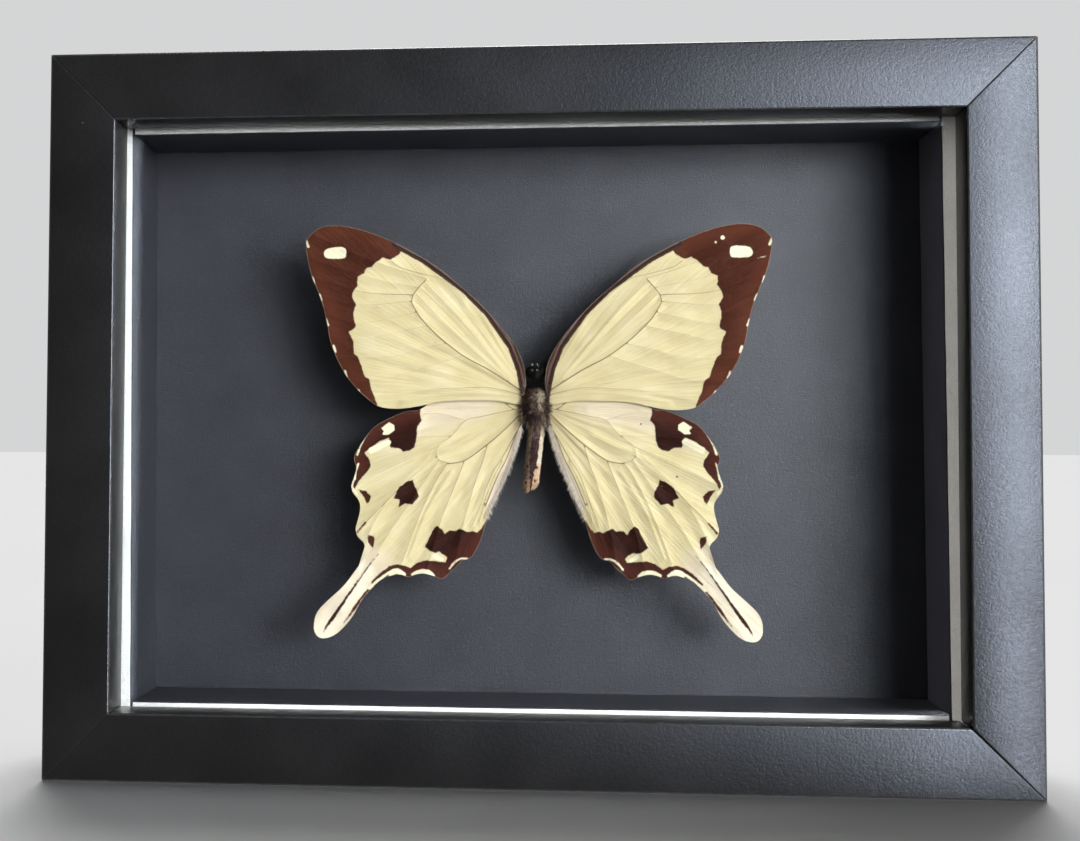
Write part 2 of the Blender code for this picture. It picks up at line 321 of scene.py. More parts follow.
def sheet_mesh(name, low, high, ease, step=0.0, sag=0.0):
    """A sheet between two corners, its edges eased, its faces cut up at step and swelling by sag."""
    size, centre = high - low, (low + high) / 2
    shape = bmesh.new()
    bmesh.ops.create_cube(shape, size=1.0)
    bmesh.ops.scale(shape, vec=size, verts=shape.verts[:])
    bmesh.ops.bevel(shape, geom=shape.edges[:], offset=ease, segments=2, profile=0.5, affect="EDGES")
    for axis in (0, 2):
        count = int(size[axis] / step) if step else 1
        for i in range(1, count):
            spot, normal = Vector(), Vector()
            spot[axis], normal[axis] = size[axis] * (i / count - 0.5), 1.0
            everything = shape.verts[:] + shape.edges[:] + shape.faces[:]
            bmesh.ops.bisect_plane(shape, geom=everything, plane_co=spot, plane_no=normal)
    for vert in shape.verts:
        inner = abs(vert.co.x) < size.x / 2 - 2 * ease and abs(vert.co.z) < size.z / 2 - 2 * ease
        if inner and sag:
            wave = noise.noise(Vector((vert.co.x * 38, vert.co.z * 38, size.y * 900)))
            vert.co.y -= math.copysign(sag * (wave - 1) / 2, vert.co.y)
    bmesh.ops.translate(shape, vec=centre, verts=shape.verts[:])
    return mesh_from(name, shape, 30 if sag else None)


def glass_material():
    """Clear glass that lets the light through to what lies behind it."""
    finish, tree = start_material("clear_glass", 0.0)
    shader = tree.nodes["Principled BSDF"]
    shader.inputs["Base Color"].default_value = (0.975, 0.992, 0.985, 1.0)
    shader.inputs["Transmission Weight"].default_value = 1.0
    shader.inputs["IOR"].default_value = 1.52
    open_way = tree.nodes.new("ShaderNodeBsdfTransparent")
    open_way.inputs["Color"].default_value = (0.96, 0.97, 0.965, 1.0)
    ray = tree.nodes.new("ShaderNodeLightPath")
    either = tree.nodes.new("ShaderNodeMixShader")
    tree.links.new(ray.outputs["Is Shadow Ray"], either.inputs[0])
    tree.links.new(shader.outputs["BSDF"], either.inputs[1])
    tree.links.new(open_way.outputs["BSDF"], either.inputs[2])
    tree.links.new(either.outputs["Shader"], tree.nodes["Material Output"].inputs["Surface"])
    return finish


pane = sheet_mesh("picture_glass", *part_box("glass_pane"), 0.25 * MM)
new_piece("picture_glass", pane, "glass_pane", "clear_glass", glass_material())

# Spacer. Four strips of 5 mm foam board stand on edge round the inside and hold the glass off
# the butterfly. Charcoal paper faces them, and their knife-cut edges show the white foam core.

STRIP_THICK = 5.0 * MM
PAPER_SKIN = 0.28 * MM
SPACER_FRONT, SPACER_BACK = (corner.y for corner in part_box("spacer_left"))
UPRIGHT_LEAN, TOP_TILT = -0.40, -0.11   # degrees


def paper_material(name, tint, nap):
    """Charcoal paper with pale fibres felted in. tint lightens it, nap is the felt's depth."""
    finish, tree = start_material(name, 0.42, 0.55)
    shades = ((0.013, 0.0132, 0.017), (0.020, 0.0203, 0.026))
    dark, light = (tuple(c * tint for c in shade) for shade in shades)
    body = ramp(tree, grain(tree, 85, 5.0), (0.25, dark), (0.80, light))
    along = grain(tree, 900, 6.0, (1.0, 1.0, 2.6), 0.7)
    across = grain(tree, 900, 6.0, (2.4, 1.0, 1.0), 0.7)
    felt = maths(tree, "MAXIMUM", along, across)
    pale = between(tree, felt, 0.55, 0.78, 0.0, 0.50)
    body = mix(tree, pale, body, (0.085, 0.088, 0.104))
    body = mix(tree, specks(tree, 300, 0.03, 0.10, 0.22), body, (0.30, 0.30, 0.32))
    rough = between(tree, felt, 0.3, 0.8, 0.36, 0.46)
    height = maths(tree, "MULTIPLY_ADD", felt, 1.6, grain(tree, 3200))
    return coat(finish, body, rough, height, nap)


def foam_core_material():
    """White foam cut with a knife: fine crushed cells with painted shade in their pits, a little yellowed."""
    finish, tree = start_material("white_foam_core", 0.85, 0.3)
    cloud = grain(tree, 140, 4.0)
    body = ramp(tree, cloud, (0.30, (0.80, 0.79, 0.76)), (0.75, (0.88, 0.88, 0.86)))
    pit_and_shade = between(tree, grain(tree, 2600, 2.0), 0.35, 0.62)
    # The pits are painted darker as well as dented: painted shade in the cells.
    body = mix(tree, maths(tree, "MULTIPLY", pit_and_shade, 0.14), body, (0.50, 0.49, 0.47))
    return coat(finish, body, None, pit_and_shade, -0.05 * MM)


def foam_strip(name, length):
    """A strip along X with its outer paper at z = 0 and its inner paper towards +Z."""
    across = (0.0, PAPER_SKIN, 1.6 * MM, 3.3 * MM, STRIP_THICK - PAPER_SKIN, STRIP_THICK)
    steps = round(length / (1.2 * MM))
    shape = bmesh.new()
    rows = []
    for i in range(steps + 1):
        x = length * (i / steps - 0.5)
        slow = 0.05 * (1 + noise.noise(Vector((x * 60, length * 90, 3.0))))
        bow = 0.06 * MM * noise.noise(Vector((x * 150, length * 50, 5.0)))
        row = []
        for k, z in enumerate(across):
            in_core = 0 < k < len(across) - 1
            torn = 0.05 * (1 + noise.noise(Vector((x * 900, z * 1500, length)))) if in_core else 0.0
            inner = bow if z > STRIP_THICK / 2 else 0.0
            row.append(shape.verts.new((x, SPACER_FRONT + (slow + torn) * MM, z + inner)))
        row.append(shape.verts.new((x, SPACER_BACK - 0.05 * MM, STRIP_THICK + bow)))
        row.append(shape.verts.new((x, SPACER_BACK - 0.05 * MM, 0.0)))
        rows.append(row)
    count = len(rows[0])
    cut_edge = range(1, len(across) - 2)
    for low, high in zip(rows, rows[1:]):
        for k in range(count):
            after = (k + 1) % count
            face = shape.faces.new((low[k], high[k], high[after], low[after]))
            face.material_index = 1 if k in cut_edge or k == len(across) else 0
    for row in (rows[0], rows[-1]):
        shape.faces.new(row).material_index = 1
    return mesh_from(name, shape)


charcoal_paper = paper_material("charcoal_paper", 1.4, 0.09 * MM)
foam_core = foam_core_material()
LEVEL, UPRIGHT = 168.4 * MM, 129.6 * MM   # lengths of the strips
strips = (
    ("spacer_bottom", LEVEL, 0.0, 0),
    ("spacer_top", LEVEL, TOP_TILT, 180),
    ("spacer_left", UPRIGHT, UPRIGHT_LEAN, 90),
    ("spacer_right", UPRIGHT, UPRIGHT_LEAN, -90),
)
strip_pieces = []
for node, length, tilt, turn in strips:
    mesh = foam_strip(node + "_strip", length)
    low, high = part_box(node)
    sunk = 0.5 * MM if node == "spacer_bottom" else 0.0
    mesh.transform(Matrix.Translation((0, 0, -STRIP_THICK / 2)))
    stand(mesh, middle(low, high, 0) - Vector((0, 0, sunk)), turn + tilt)
    piece = new_piece(node + "_strip", mesh, node, "foam_board", charcoal_paper, foam_core)
    strip_pieces.append(piece)

# Mount board. A 5 mm board, wrapped on its face in the same charcoal paper and pushed up against
# the spacer. The butterfly's plug is glued to it, and the paper lies very slightly wavy.

mount_low, mount_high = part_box("mount_board")
board_mesh = sheet_mesh("mount_board_panel", mount_low, mount_high, 0.3 * MM, 3.0 * MM, 0.08 * MM)
mount_paper = paper_material("mount_paper", 1.75, 0.08 * MM)
board = new_piece("mount_board_panel", board_mesh, "mount_board", "charcoal_card", mount_paper)

# Back panel. A sheet of 2.5 mm hardboard, pressed brown wood fibre, smooth and slightly oiled on
# the outer face. It drops into the rabbet last and closes the box.


def hardboard_material():
    """Pressed brown fibre with pale strands and dark flecks."""
    finish, tree = start_material("hardboard", 0.55, 0.4)
    body = ramp(
        tree, grain(tree, 60, 6.0),
        (0.25, (0.180, 0.097, 0.048)), (0.50, (0.205, 0.112, 0.056)), (0.80, (0.235, 0.133, 0.069)),
    )
    fibre = grain(tree, 700, 6.0, (1.0, 1.0, 3.0), 0.75)
    pale_fibre = between(tree, fibre, 0.44, 0.66, 0.0, 0.65)
    body = mix(tree, pale_fibre, body, (0.36, 0.23, 0.13))
    body = mix(tree, specks(tree, 520, 0.20, 0.24, 0.8), body, (0.065, 0.034, 0.018))
    return coat(finish, body, between(tree, fibre, 0.3, 0.8, 0.46, 0.68), fibre, 0.05 * MM)


panel = sheet_mesh("hardboard_panel", *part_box("back_panel"), 0.35 * MM, 6.0 * MM, 0.06 * MM)
new_piece("hardboard_panel", panel, "back_panel", "hardboard", hardboard_material())

# Tabs. Six flat points stamped from thin dull steel, pressed into slots in the moulding's back
# wall and bent down over the back panel, so each has a soft crease near its root.


def tab_mesh(name, reach, thick, height):
    """A tab pointing up from z = 0, its back face at y = thick, its round tip pressed flat."""
    half = height / 2
    outline = [(-half, 0.0), (half, 0.0), *arc((0, reach - half), half, 0, 180, 18)]
    shape = bmesh.new()
    front = [shape.verts.new((x, 0.0, z)) for x, z in outline]
    shape.faces.new(front)
    bmesh.ops.triangulate(shape, faces=shape.faces[:])
    for row in range(1, 12):
        geom = shape.verts[:] + shape.edges[:] + shape.faces[:]
        spot = (0, 0, reach * row / 12)
        bmesh.ops.bisect_plane(shape, geom=geom, plane_co=spot, plane_no=(0, 0, 1))
    bmesh.ops.solidify(shape, geom=shape.faces[:], thickness=-(thick - 0.12 * MM))
    low = min(vert.co.y for vert in shape.verts)
    for vert in shape.verts:
        crease = math.exp(-(((vert.co.z - 0.18 * reach) / (0.05 * reach)) ** 2))
        vert.co.y += -low + 0.10 * MM * crease
    return mesh_from(name, shape, 35)


def bare_metal(name, dark, light, roughness, scratch):
    """Stamped metal: handling scratches across a dull skin."""
    finish, tree = start_material(name, roughness, 0.5, 1.0)
    cloud = grain(tree, 420, 5.0)
    body = ramp(tree, cloud, (0.30, dark), (0.72, light))
    line = grain(tree, 1400, 3.0, (0.12, 1.0, 1.0))
    fine = grain(tree, 1400, 3.0, (1.0, 1.0, 0.12))
    line = between(tree, maths(tree, "MAXIMUM", line, fine), 0.62, 0.72, 0.0, scratch)
    body = mix(tree, line, body, tuple(min(1.0, 1.5 * c) for c in light))
    stain = between(tree, grain(tree, 900, 4.0), 0.60, 0.74, 0.0, 0.25)
    body = mix(tree, stain, body, tuple(0.35 * c for c in dark))
    rough = between(tree, cloud, 0.2, 0.8, roughness - 0.08, roughness + 0.12)
    return coat(finish, body, rough, line, 0.01 * MM)


tab_steel = bare_metal("tab_steel", (0.29, 0.29, 0.305), (0.40, 0.40, 0.41), 0.36, 0.35)
tab_turns = {"bottom": 0, "top": 180, "left": 90, "right": -90}
tab_nodes = [f"tab_{row}_{end}" for row in ("bottom", "top") for end in ("left", "right")]
for node in (*tab_nodes, "tab_left", "tab_right"):
    low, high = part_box(node)
    side = node.split("_")[1]
    reach, across = high.z - low.z, high.x - low.x
    if side in ("left", "right"):
        reach, across = across, reach
    root = middle(low, high, low.y)
    if side in ("bottom", "top"):
        root.z = low.z if side == "bottom" else high.z
    else:
        root.x = low.x if side == "left" else high.x
    mesh = tab_mesh(node + "_point", reach, high.y - low.y, across)
    stand(mesh, root, tab_turns[side])
    new_piece(node + "_point", mesh, node, "tab_steel", tab_steel)

# Hanger. A plate stamped from brassed steel, with a triangular opening for a wall hook and small
# round teeth along the opening's foot. One small peened rivet holds it to the back panel.

hanger_low, hanger_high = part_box("hanger_plate")
rivet_low, rivet_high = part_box("hanger_rivet")
brass = bare_metal("hanger_brass", (0.58, 0.42, 0.17), (0.74, 0.56, 0.25), 0.26, 0.35)


def line_distance(spots, line, start=0.0, end=0.0):
    """Distance of each spot from a line, less a margin that goes from start to end."""
    line = np.asarray(line, float)
    steps = np.linalg.norm(np.diff(line, axis=0), axis=1)
    along = np.concatenate([[0.0], np.cumsum(steps)]) / max(steps.sum(), 1e-9)
    best = np.full(len(spots), 1e9)
    for a, b, share, next_share in zip(line, line[1:], along, along[1:]):
        span = b - a
        t = np.clip((spots - a) @ span / max(span @ span, 1e-12), 0, 1)
        gap = np.linalg.norm(spots - a - t[:, None] * span, axis=1)
        here = share + t * (next_share - share)
        best = np.minimum(best, gap - (start + (end - start) * here))
    return best


def area_depth(spots, outline):
    """How far inside a closed outline each spot lies, negative outside."""
    outline = np.asarray(outline, float)
    inside = np.zeros(len(spots), bool)
    x, y = spots.T
    for (xa, ya), (xb, yb) in zip(outline, np.roll(outline, -1, axis=0)):
        if ya != yb:
            inside ^= ((ya > y) != (yb > y)) & (x < (xb - xa) * (y - ya) / (yb - ya) + xa)
    gap = line_distance(spots, np.vstack([outline, outline[:1]]))
    return np.where(inside, gap, -gap)


def hanger_mesh():
    """The plate, foot down: clipped corners, the toothed opening and the rivet's hole."""
    half, foot = (hanger_high.x - hanger_low.x) / 2, hanger_low.z
    centre, tall = hanger_low.x + half, hanger_high.z - foot
    outline = [(half - MM, 0.0), (half, 2 * MM), (4 * MM, tall)]
    outline += [(-x, z) for x, z in reversed(outline)]
    opening = [(-7 * MM, 7 * MM)]
    for i in range(6):
        opening += arc((-5.8 * MM + 2.32 * i * MM, 6.9 * MM), 0.45 * MM, 170, 10, 4)
    opening += [(7 * MM, 7 * MM), (0.6 * MM, 14.9 * MM), (0.0, 15.4 * MM), (-0.6 * MM, 14.9 * MM)]
    hole = arc((0.0, 3.5 * MM), 1.6 * MM, 0, 345, 23)
    points, edges = [], []
    for loop in (outline, opening, hole):
        start, count = len(points), len(loop)
        points += [Vector(point) for point in loop]
        edges += [(start + i, start + (i + 1) % count) for i in range(count)]
    spots, _, faces, *_ = geometry.delaunay_2d_cdt(points, edges, [], 1, 1e-9)
    middles = np.array([sum((spots[i] for i in face), Vector((0, 0))) / 3 for face in faces])
    cut_out = np.maximum(area_depth(middles, opening), area_depth(middles, hole)) > 0
    shape = bmesh.new()
    verts = [shape.verts.new((centre + x, hanger_low.y, foot + z)) for x, z in spots]
    for face, gone in zip(faces, cut_out):
        if not gone:
            shape.faces.new([verts[i] for i in face])
    bmesh.ops.recalc_face_normals(shape, faces=shape.faces[:])
    bmesh.ops.solidify(shape, geom=shape.faces[:], thickness=hanger_high.y - hanger_low.y)
    lowest = min(vert.co.y for vert in shape.verts)
    bmesh.ops.translate(shape, vec=(0, hanger_low.y - lowest, 0), verts=shape.verts[:])
    sharp = [e for e in shape.edges if e.is_manifold and e.calc_face_angle() > math.radians(60)]
    bmesh.ops.bevel(shape, geom=sharp, offset=0.15 * MM, segments=2, profile=0.5, affect="EDGES")
    return mesh_from("stamped_hanger", shape, 35)


def turned_mesh(name, profile, sides, wobble=0.0):
    """A solid turned about Y from (radius, depth) points that start and end on the axis."""
    shape = bmesh.new()
    rows = []
    for radius, depth in profile:
        row = []
        for side in range(sides if radius else 1):
            a = math.tau * side / sides
            ripple = noise.noise(Vector((math.cos(a) * 2, depth * 2200, math.sin(a) * 2)))
            r = radius * (1 + wobble * ripple)
            row.append(shape.verts.new((r * math.cos(a), depth, r * math.sin(a))))
        rows.append(row)
    for low, high in zip(rows, rows[1:]):
        for i in range(sides):
            n = i + 1
            ring = (low[i % len(low)], low[n % len(low)], high[n % len(high)], high[i % len(high)])
            ring = list(dict.fromkeys(ring))
            if len(ring) > 2:
                shape.faces.new(ring)
    return mesh_from(name, shape, 35)


new_piece("stamped_hanger", hanger_mesh(), "hanger_plate", "hanger_brass", brass)
shank = 1.3 * MM
rivet_deep = rivet_high.y - rivet_low.y
rivet_profile = [(0, 0), (shank, 0), (shank, rivet_deep - 0.6 * MM)]
rivet_profile.append((1.95 * shank, rivet_deep - 0.58 * MM))
for a in np.linspace(0, 1.35, 7):
    dome = rivet_deep - 0.55 * MM + 0.52 * MM * math.sin(a)
    rivet_profile.append((2 * shank * math.cos(a), dome))
rivet_profile.append((0, rivet_deep - 0.06 * MM))
rivet = turned_mesh("peened_rivet", rivet_profile, 32, 0.02)
stand(rivet, middle(rivet_low, rivet_high, rivet_low.y))
new_piece("peened_rivet", rivet, "hanger_rivet", "hanger_brass", brass)

# Support plug. A short round plug punched from dark grey foam, glued to the paper and to the
# underside of the thorax. It stands the butterfly off the board and stays hidden behind it.

post_low, post_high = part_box("support_post")
POST_RADIUS = (post_high.x - post_low.x) / 2


def plug_material():
    """Dark grey foam with small open cells."""
    finish, tree = start_material("plug_foam", 0.90, 0.3)
    cells = grain(tree, 2400, 3.0)
    body = ramp(tree, cells, (0.35, (0.018, 0.018, 0.020)), (0.70, (0.070, 0.070, 0.078)))
    return coat(finish, body, None, cells, 0.12 * MM)


post_depth = post_high.y - post_low.y
post_profile = [(0, 0), (0.88 * POST_RADIUS, 0)]
post_profile += [(0.93 * POST_RADIUS, post_depth * i / 14) for i in range(1, 13)]
post_profile.append((0.95 * POST_RADIUS, post_depth - 0.4 * MM))
post_profile += [(POST_RADIUS, post_depth), (0, post_depth)]
post = turned_mesh("foam_plug", post_profile, 28, 0.06)
stand(post, middle(post_low, post_high, post_low.y))
new_piece("foam_plug", post, "support_post", "plug_foam", plug_material())

# Wings. Four dried wings of a swallowtail, spread and set flat: thin membrane stiffened by
# raised veins, pleated between them and covered with cream and brown scales, like fine dust.
# Outlines are for the right side, in millimetres from the body and the middle of the frame.

BODY_X = 0.6 * MM
FOREWING_DEPTH, HINDWING_DEPTH = -4.2, -3.3   # of the roots, before the frame's middle
WING_RISE = 0.055      # how far a wing comes forward for each millimetre out
WING_RELIEF = (0.10, 0.26, 0.19, 0.30, 0.05, 0.30)   # veins, pleats, folds, waves, crimps, curl
MEMBRANE = 0.12 * MM
UNMARKED = -9.0        # depth inside a mark, where a wing doesn't have it
FOREWING = (
    (2.5, 5.0), (2.0, 6.6), (2.1, 8.4), (2.5, 11.0), (4.0, 14.6), (7.3, 19.0), (11.6, 23.9),
    (16, 27.8), (20.8, 31.9), (25.2, 34.7), (29.6, 37.1), (34, 39), (38.8, 40.6), (43, 41.2),
    (46.5, 40.7), (49, 38.8),
    (49.6, 37.2), (49.3, 34.4), (48.5, 31), (47.1, 27.5), (45.9, 24.4), (44.9, 20.5), (44.2, 16.5),
    (43, 13), (41, 9.2), (38.6, 6.2), (36.2, 3.9), (33.8, 2.2), (31, 1.6), (27.7, 1.7),
    (24.5, 2.2), (21.5, 2.9), (17.5, 3.3), (12, 3.4), (8, 3.3), (2.7, 2.6),
)
HINDWING = (
    (3.2, 2.0), (7.5, 4.0), (12, 5), (20, 4.5), (24.6, 1.5), (27.4, 1.1), (29.9, 0.2), (32.5, -1.0),
    (34.5, -2.2), (35.7, -3.5), (37.3, -5.8), (38.6, -7.9), (38.9, -9.6), (38.4, -11.2),
    (39.2, -13.9), (39.5, -15.0), (39.2, -16.3), (37.8, -18.4), (37.6, -20.2), (38.2, -22.9),
    (38.5, -24.2), (38.1, -25.8), (36.7, -27.3), (36.5, -28.8), (37.1, -31.1), (38.8, -33.5),
    (41.0, -36.4), (44.1, -39.3), (46.3, -41.5), (47.3, -43.5), (47.4, -46.0), (46.4, -47.5),
    (44.8, -47.7), (42.8, -46.9), (40.8, -45.1), (39, -42.8), (37.2, -39.6), (35.3, -37.3),
    (32.8, -35.0), (30.5, -34.1), (28.6, -33.9), (27.1, -34.5), (25.6, -33.9), (23.8, -33.6),
    (21.8, -34.1), (19.8, -34.8), (18, -33.2), (16.2, -31.6), (15.5, -30.8), (13.6, -30.1),
    (12.2, -27.8), (11.3, -25.5), (10.5, -22.7), (9.5, -20.1), (8, -17), (6.4, -13.6), (4.8, -9.4), (3.3, -5),
    (2.8, -1),
)
# (how dark at the root, how dark at the tip, points from the root outwards); 0 is a fold only
FOREWING_VEINS = (
    (1.25, 1.1, ((3.2, 5.6), (9.7, 9.8), (15.5, 13.0), (20.5, 16.9), (24, 20.4), (25.6, 22.6))),
    (0.9, 0.9, ((23.4, 29.3), (24.9, 27.7), (26.2, 25.9), (26.4, 24.2), (25.3, 22.3))),
    (0.35, 0.7, ((15.0, 25.4), (18.3, 28.4), (20.7, 29.7), (24.4, 30.6), (28.8, 31.9), (30.8, 33.2))),
    (0.5, 0.1, ((23.4, 29.5), (30, 31.6), (38.5, 34.8), (47.5, 39.0))),
    (0.35, 0.1, ((25.2, 27.6), (33.5, 29.2), (41, 31.4), (48.6, 34.0))),
    (0.85, 0.2, ((26.2, 26.0), (37.2, 26.7), (47.3, 29.8))),
    (0.45, 0.1, ((26.4, 24.6), (38.4, 23.9), (46.2, 26.0))),
    (0.30, 0.1, ((25.3, 22.3), (32, 20.8), (38.5, 20.0), (44.9, 21.8))),
    (0.35, 0.1, ((23.0, 19.4), (30.6, 17.8), (37, 16.4), (44.0, 17.4))),
    (0.30, 0.1, ((18.9, 15.6), (24.9, 14.4), (30.6, 12.8), (42.4, 12.4))),
    (0.35, 0.1, ((15.4, 13.0), (19.4, 11.7), (24.8, 10.1), (32, 8.0), (39.6, 7.6))),
    (0.70, 0.0, ((3.0, 4.6), (7.1, 5.6), (10.8, 6.2), (16.2, 6.0), (22.7, 5.6), (34.4, 3.4))),
    (0.0, 0.0, ((5.5, 8.0), (11.5, 15.5), (17.0, 22.0), (23.6, 28.6))),
    (0.0, 0.4, ((5.0, 7.0), (13, 14.0), (20, 20.6), (25.6, 26.2))),
    (0.3, 0.0, ((4.0, 4.0), (12, 4.9), (20, 4.4), (28, 3.2))),
)
HINDWING_VEINS = (
    (0.9, 0.9, ((4.4, 1.5), (5.6, 2.1), (6.3, 2.8))),
    (0.7, 0.4, ((3.6, 1.6), (6.8, 1.0), (11.8, -0.1), (14.9, -0.9), (17.9, -4.2), (20.5, -6.0))),
    (0.4, 0.6, ((20.5, -6.0), (21.2, -7.8), (20.5, -9.4), (18.1, -10.1))),
    (1.2, 1.0, ((3.5, 0.2), (7.2, -3.4), (10.5, -6.2), (15, -9.4), (18.7, -10.2))),
    (0.4, 0.1, ((14.9, -0.9), (21, 0.6), (29.9, 0.0))),
    (0.35, 0.1, ((17.9, -4.2), (26, -4.6), (32, -5.4), (38.7, -8.8))),
    (0.3, 0.2, ((20.7, -6.4), (28, -9.6), (33, -12.0), (38.9, -15.2))),
    (0.2, 0.7, ((21.0, -8.4), (27, -13.6), (33, -19.4), (38.0, -24.6))),
    (0.3, 0.3, ((20.5, -9.3), (25.5, -16.5), (31, -24.6), (36.2, -33), (41.9, -41.1))),
    (0.6, 0.3, ((18.9, -10.2), (21.5, -14.4), (25, -22), (29.6, -34.4))),
    (0.7, 0.2, ((15.1, -9.5), (17.4, -15.3), (20.4, -23), (23.4, -34.0))),
    (0.7, 0.2, ((10.2, -6.0), (11.4, -10.1), (13.1, -14.9), (15.6, -24), (17.2, -32.4))),
    (1.0, 1.0, ((3.0, -1.2), (5.1, -6.4), (6.4, -9.6), (8.2, -13.1), (10.1, -17.8), (10.6, -19.2))),
    (0.4, 0.5, ((7.0, -9.6), (8.9, -13.1), (10.7, -17.8), (11.9, -22.4))),
    (0.9, 0.4, ((3.6, -2.6), (7.3, -9.2), (9.0, -11.8), (10.6, -15.7), (11.7, -19), (13.3, -23.2))),
    (0.0, 0.0, ((4.4, 2.8), (12, 2.2), (20, 2.4), (26, -1.5))),
    (0.0, 0.0, ((12, -4.2), (17, -6.6), (20, -7.2))),
    (0.0, 0.0, ((18, -12), (23, -20), (27, -30))),
    (0.0, 0.0, ((23, -9), (30, -16), (35, -24), (38, -33))),
)
# Dark and cream areas, as closed outlines with both wings of a pair alike.
BROWN_MARGIN = (
    (28.9, 35.6), (29.4, 34.7), (31.2, 33.6), (32.7, 34.1), (34.2, 33.1), (35.2, 32.1), (36.4, 31.8),
    (36.9, 30.6), (38.2, 30.1), (38.3, 28.8), (38.1, 28.2), (39.0, 27.0), (39.4, 25.6), (38.5, 24.0),
    (39.1, 22.4), (39.0, 21.0), (38.6, 19.5), (38.9, 18.8), (40.1, 18.2), (39.1, 16.0), (39.0, 13.5),
    (38.1, 12.8), (37.1, 10.1), (36.6, 8.5), (35.5, 7.9), (35.1, 5.6), (34.6, 4.6), (33.9, 2.8),
    (33.0, -5), (60, -5), (60, 60), (24, 60),
)
COSTAL_STRIPE = (
    (31.0, 36.5), (28.9, 35.5), (24.5, 33.1), (20.0, 29.8), (15.5, 26.4), (10.8, 21.7), (5.8, 14.5),
    (4.1, 9.9), (3.3, 5.9), (3.0, 4.2), (2.4, 0), (-6, 0), (-6, 60), (31, 60),
)
APICAL_SPOT = (
    (45.5, 35.6), (44.4, 36.3), (41.4, 36.4), (40.8, 35.6), (41.0, 34.3), (42.0, 34.0),
    (44.8, 34.1), (45.6, 34.8),
)
COSTAL_BLOTCH = (
    (24.6, 2.6), (24.7, 0.3), (24.3, -1.0), (25.3, -2.2), (25.4, -4.8), (25.9, -6.7), (26.9, -7.4),
    (28.3, -7.6), (29.3, -6.9), (31.1, -6.8), (31.5, -4.7), (33.4, -5.4), (36.7, -7.9), (35.5, -9.6),
    (35.3, -10.7), (36.2, -12.1), (37.9, -14.1), (38.7, -15.7), (44, -15.7), (44, 5), (24, 5),
)
WHITE_PATCH = (
    (33.2, -2.6), (31.4, -1.3), (30.3, -2.0), (30.2, -3.0), (31.6, -4.0), (32.9, -4.0), (32.5, -3.2),
)
HINDWING_SPOTS = (
    ((38.0, -15.7), (36.4, -16.1), (35.2, -17.2), (35.6, -18.3), (36.1, -18.9), (36.8, -17.5)),
    (
        (26.2, -13.6), (25.9, -14.8), (25.2, -16.0), (24.9, -17.2), (26.3, -18.9), (27.9, -18.7),
        (29.3, -19.6), (29.0, -17.9), (30.3, -17.6), (29.2, -15.3), (27.4, -14.0),
    ),
    ((36.0, -25.5), (34.6, -25.8), (34.4, -26.6), (34.7, -28.4), (35.8, -27.0)),
)
TORNAL_BLOTCH = (
    (10.4, -22.0), (11.6, -24.0), (12.4, -24.8), (13.4, -24.5), (14.3, -24.8), (15.2, -24.3),
    (16.2, -23.9), (16.9, -24.5), (18.5, -24.4), (19.3, -25.2), (19.8, -24.2), (20.9, -23.4),
    (21.6, -23.9), (23.7, -28.0), (22.3, -29.0), (21.3, -29.3), (20.6, -29.0), (20.0, -29.4),
    (18.8, -30.2), (19.2, -31.2), (21.0, -31.0), (23.4, -30.8), (25.2, -31.4), (26.6, -32.5),
    (28.2, -31.9), (29.6, -31.7), (31.2, -32.2), (33.2, -33.6), (35.2, -35.6), (34.4, -36.6),
    (31.0, -37), (17.2, -37), (14.0, -33), (10.0, -29.0), (6.0, -22.0),
)
# (half width at the first point, at the last, points)
DARK_LINES = (
    (0.08, 0.30, ((33.6, -29.6), (36.2, -32.9), (38.6, -36.4), (41.0, -39.9))),
    (0.30, 0.42, ((41.0, -39.9), (42.6, -42.2), (43.6, -43.6))),
    (0.42, 0.10, ((43.6, -43.6), (44.6, -45.0), (45.3, -46.4))),
    (0.15, 0.36, ((32.6, -34.2), (34.6, -36.0), (36.6, -38.4), (38.4, -40.8))),
    (0.36, 0.10, ((38.4, -40.8), (39.9, -43.0), (41.0, -44.4))),
    (0.25, 0.2, ((36.4, -22.9), (38.2, -25.1))),
)
INNER_MARGIN = (
    (1.0, 1.0), (2.8, -0.6), (5.1, -6.4), (6.4, -9.6), (8.2, -13.1), (10.1, -17.8), (10.6, -19.2),
    (9.6, -20.6), (4, -18), (0, -8),
)
WHITE_LINES = (
    (0.20, 0.20, ((18.3, -32.6), (17.2, -31.2), (15.8, -30.4), (14.4, -30.4))),
    (0.30, 0.30, ((26.2, -33.9), (25.0, -33.2), (23.8, -33.0), (22.5, -33.3), (21.7, -34.1))),
    (0.34, 0.34, ((25.4, -33.7), (23.8, -33.4), (22.3, -33.9))),
    (0.25, 0.30, (
        (35.6, -37.0), (33.6, -35.2), (31.6, -33.8), (30.2, -33.0), (29.0, -33.0), (27.9, -33.9),
    )),
    (0.34, 0.34, ((31.0, -34.0), (29.6, -33.4), (28.4, -33.8))),
    (0.65, 0.55, ((35.2, -7.4), (33.4, -6.5), (31.5, -5.6))),
    (0.22, 0.15, ((38.8, -13.6), (38.5, -11.8), (38.0, -10.2))),
    (0.12, 0.22, ((36.4, -4.2), (37.4, -6.0), (38.2, -8.3))),
    (0.20, 0.20, ((38.3, -16.8), (39.3, -15.1), (39.0, -13.9))),
    (0.45, 0.30, ((21.3, -29.9), (20.6, -30.4), (19.9, -30.7))),
)
FOREWING_FRINGE = (
    (49.3, 37.3), (47.9, 29.3), (46.3, 25.5), (44.8, 20.2), (43.2, 14.5), (40.8, 9.1), (37.8, 5.0),
)


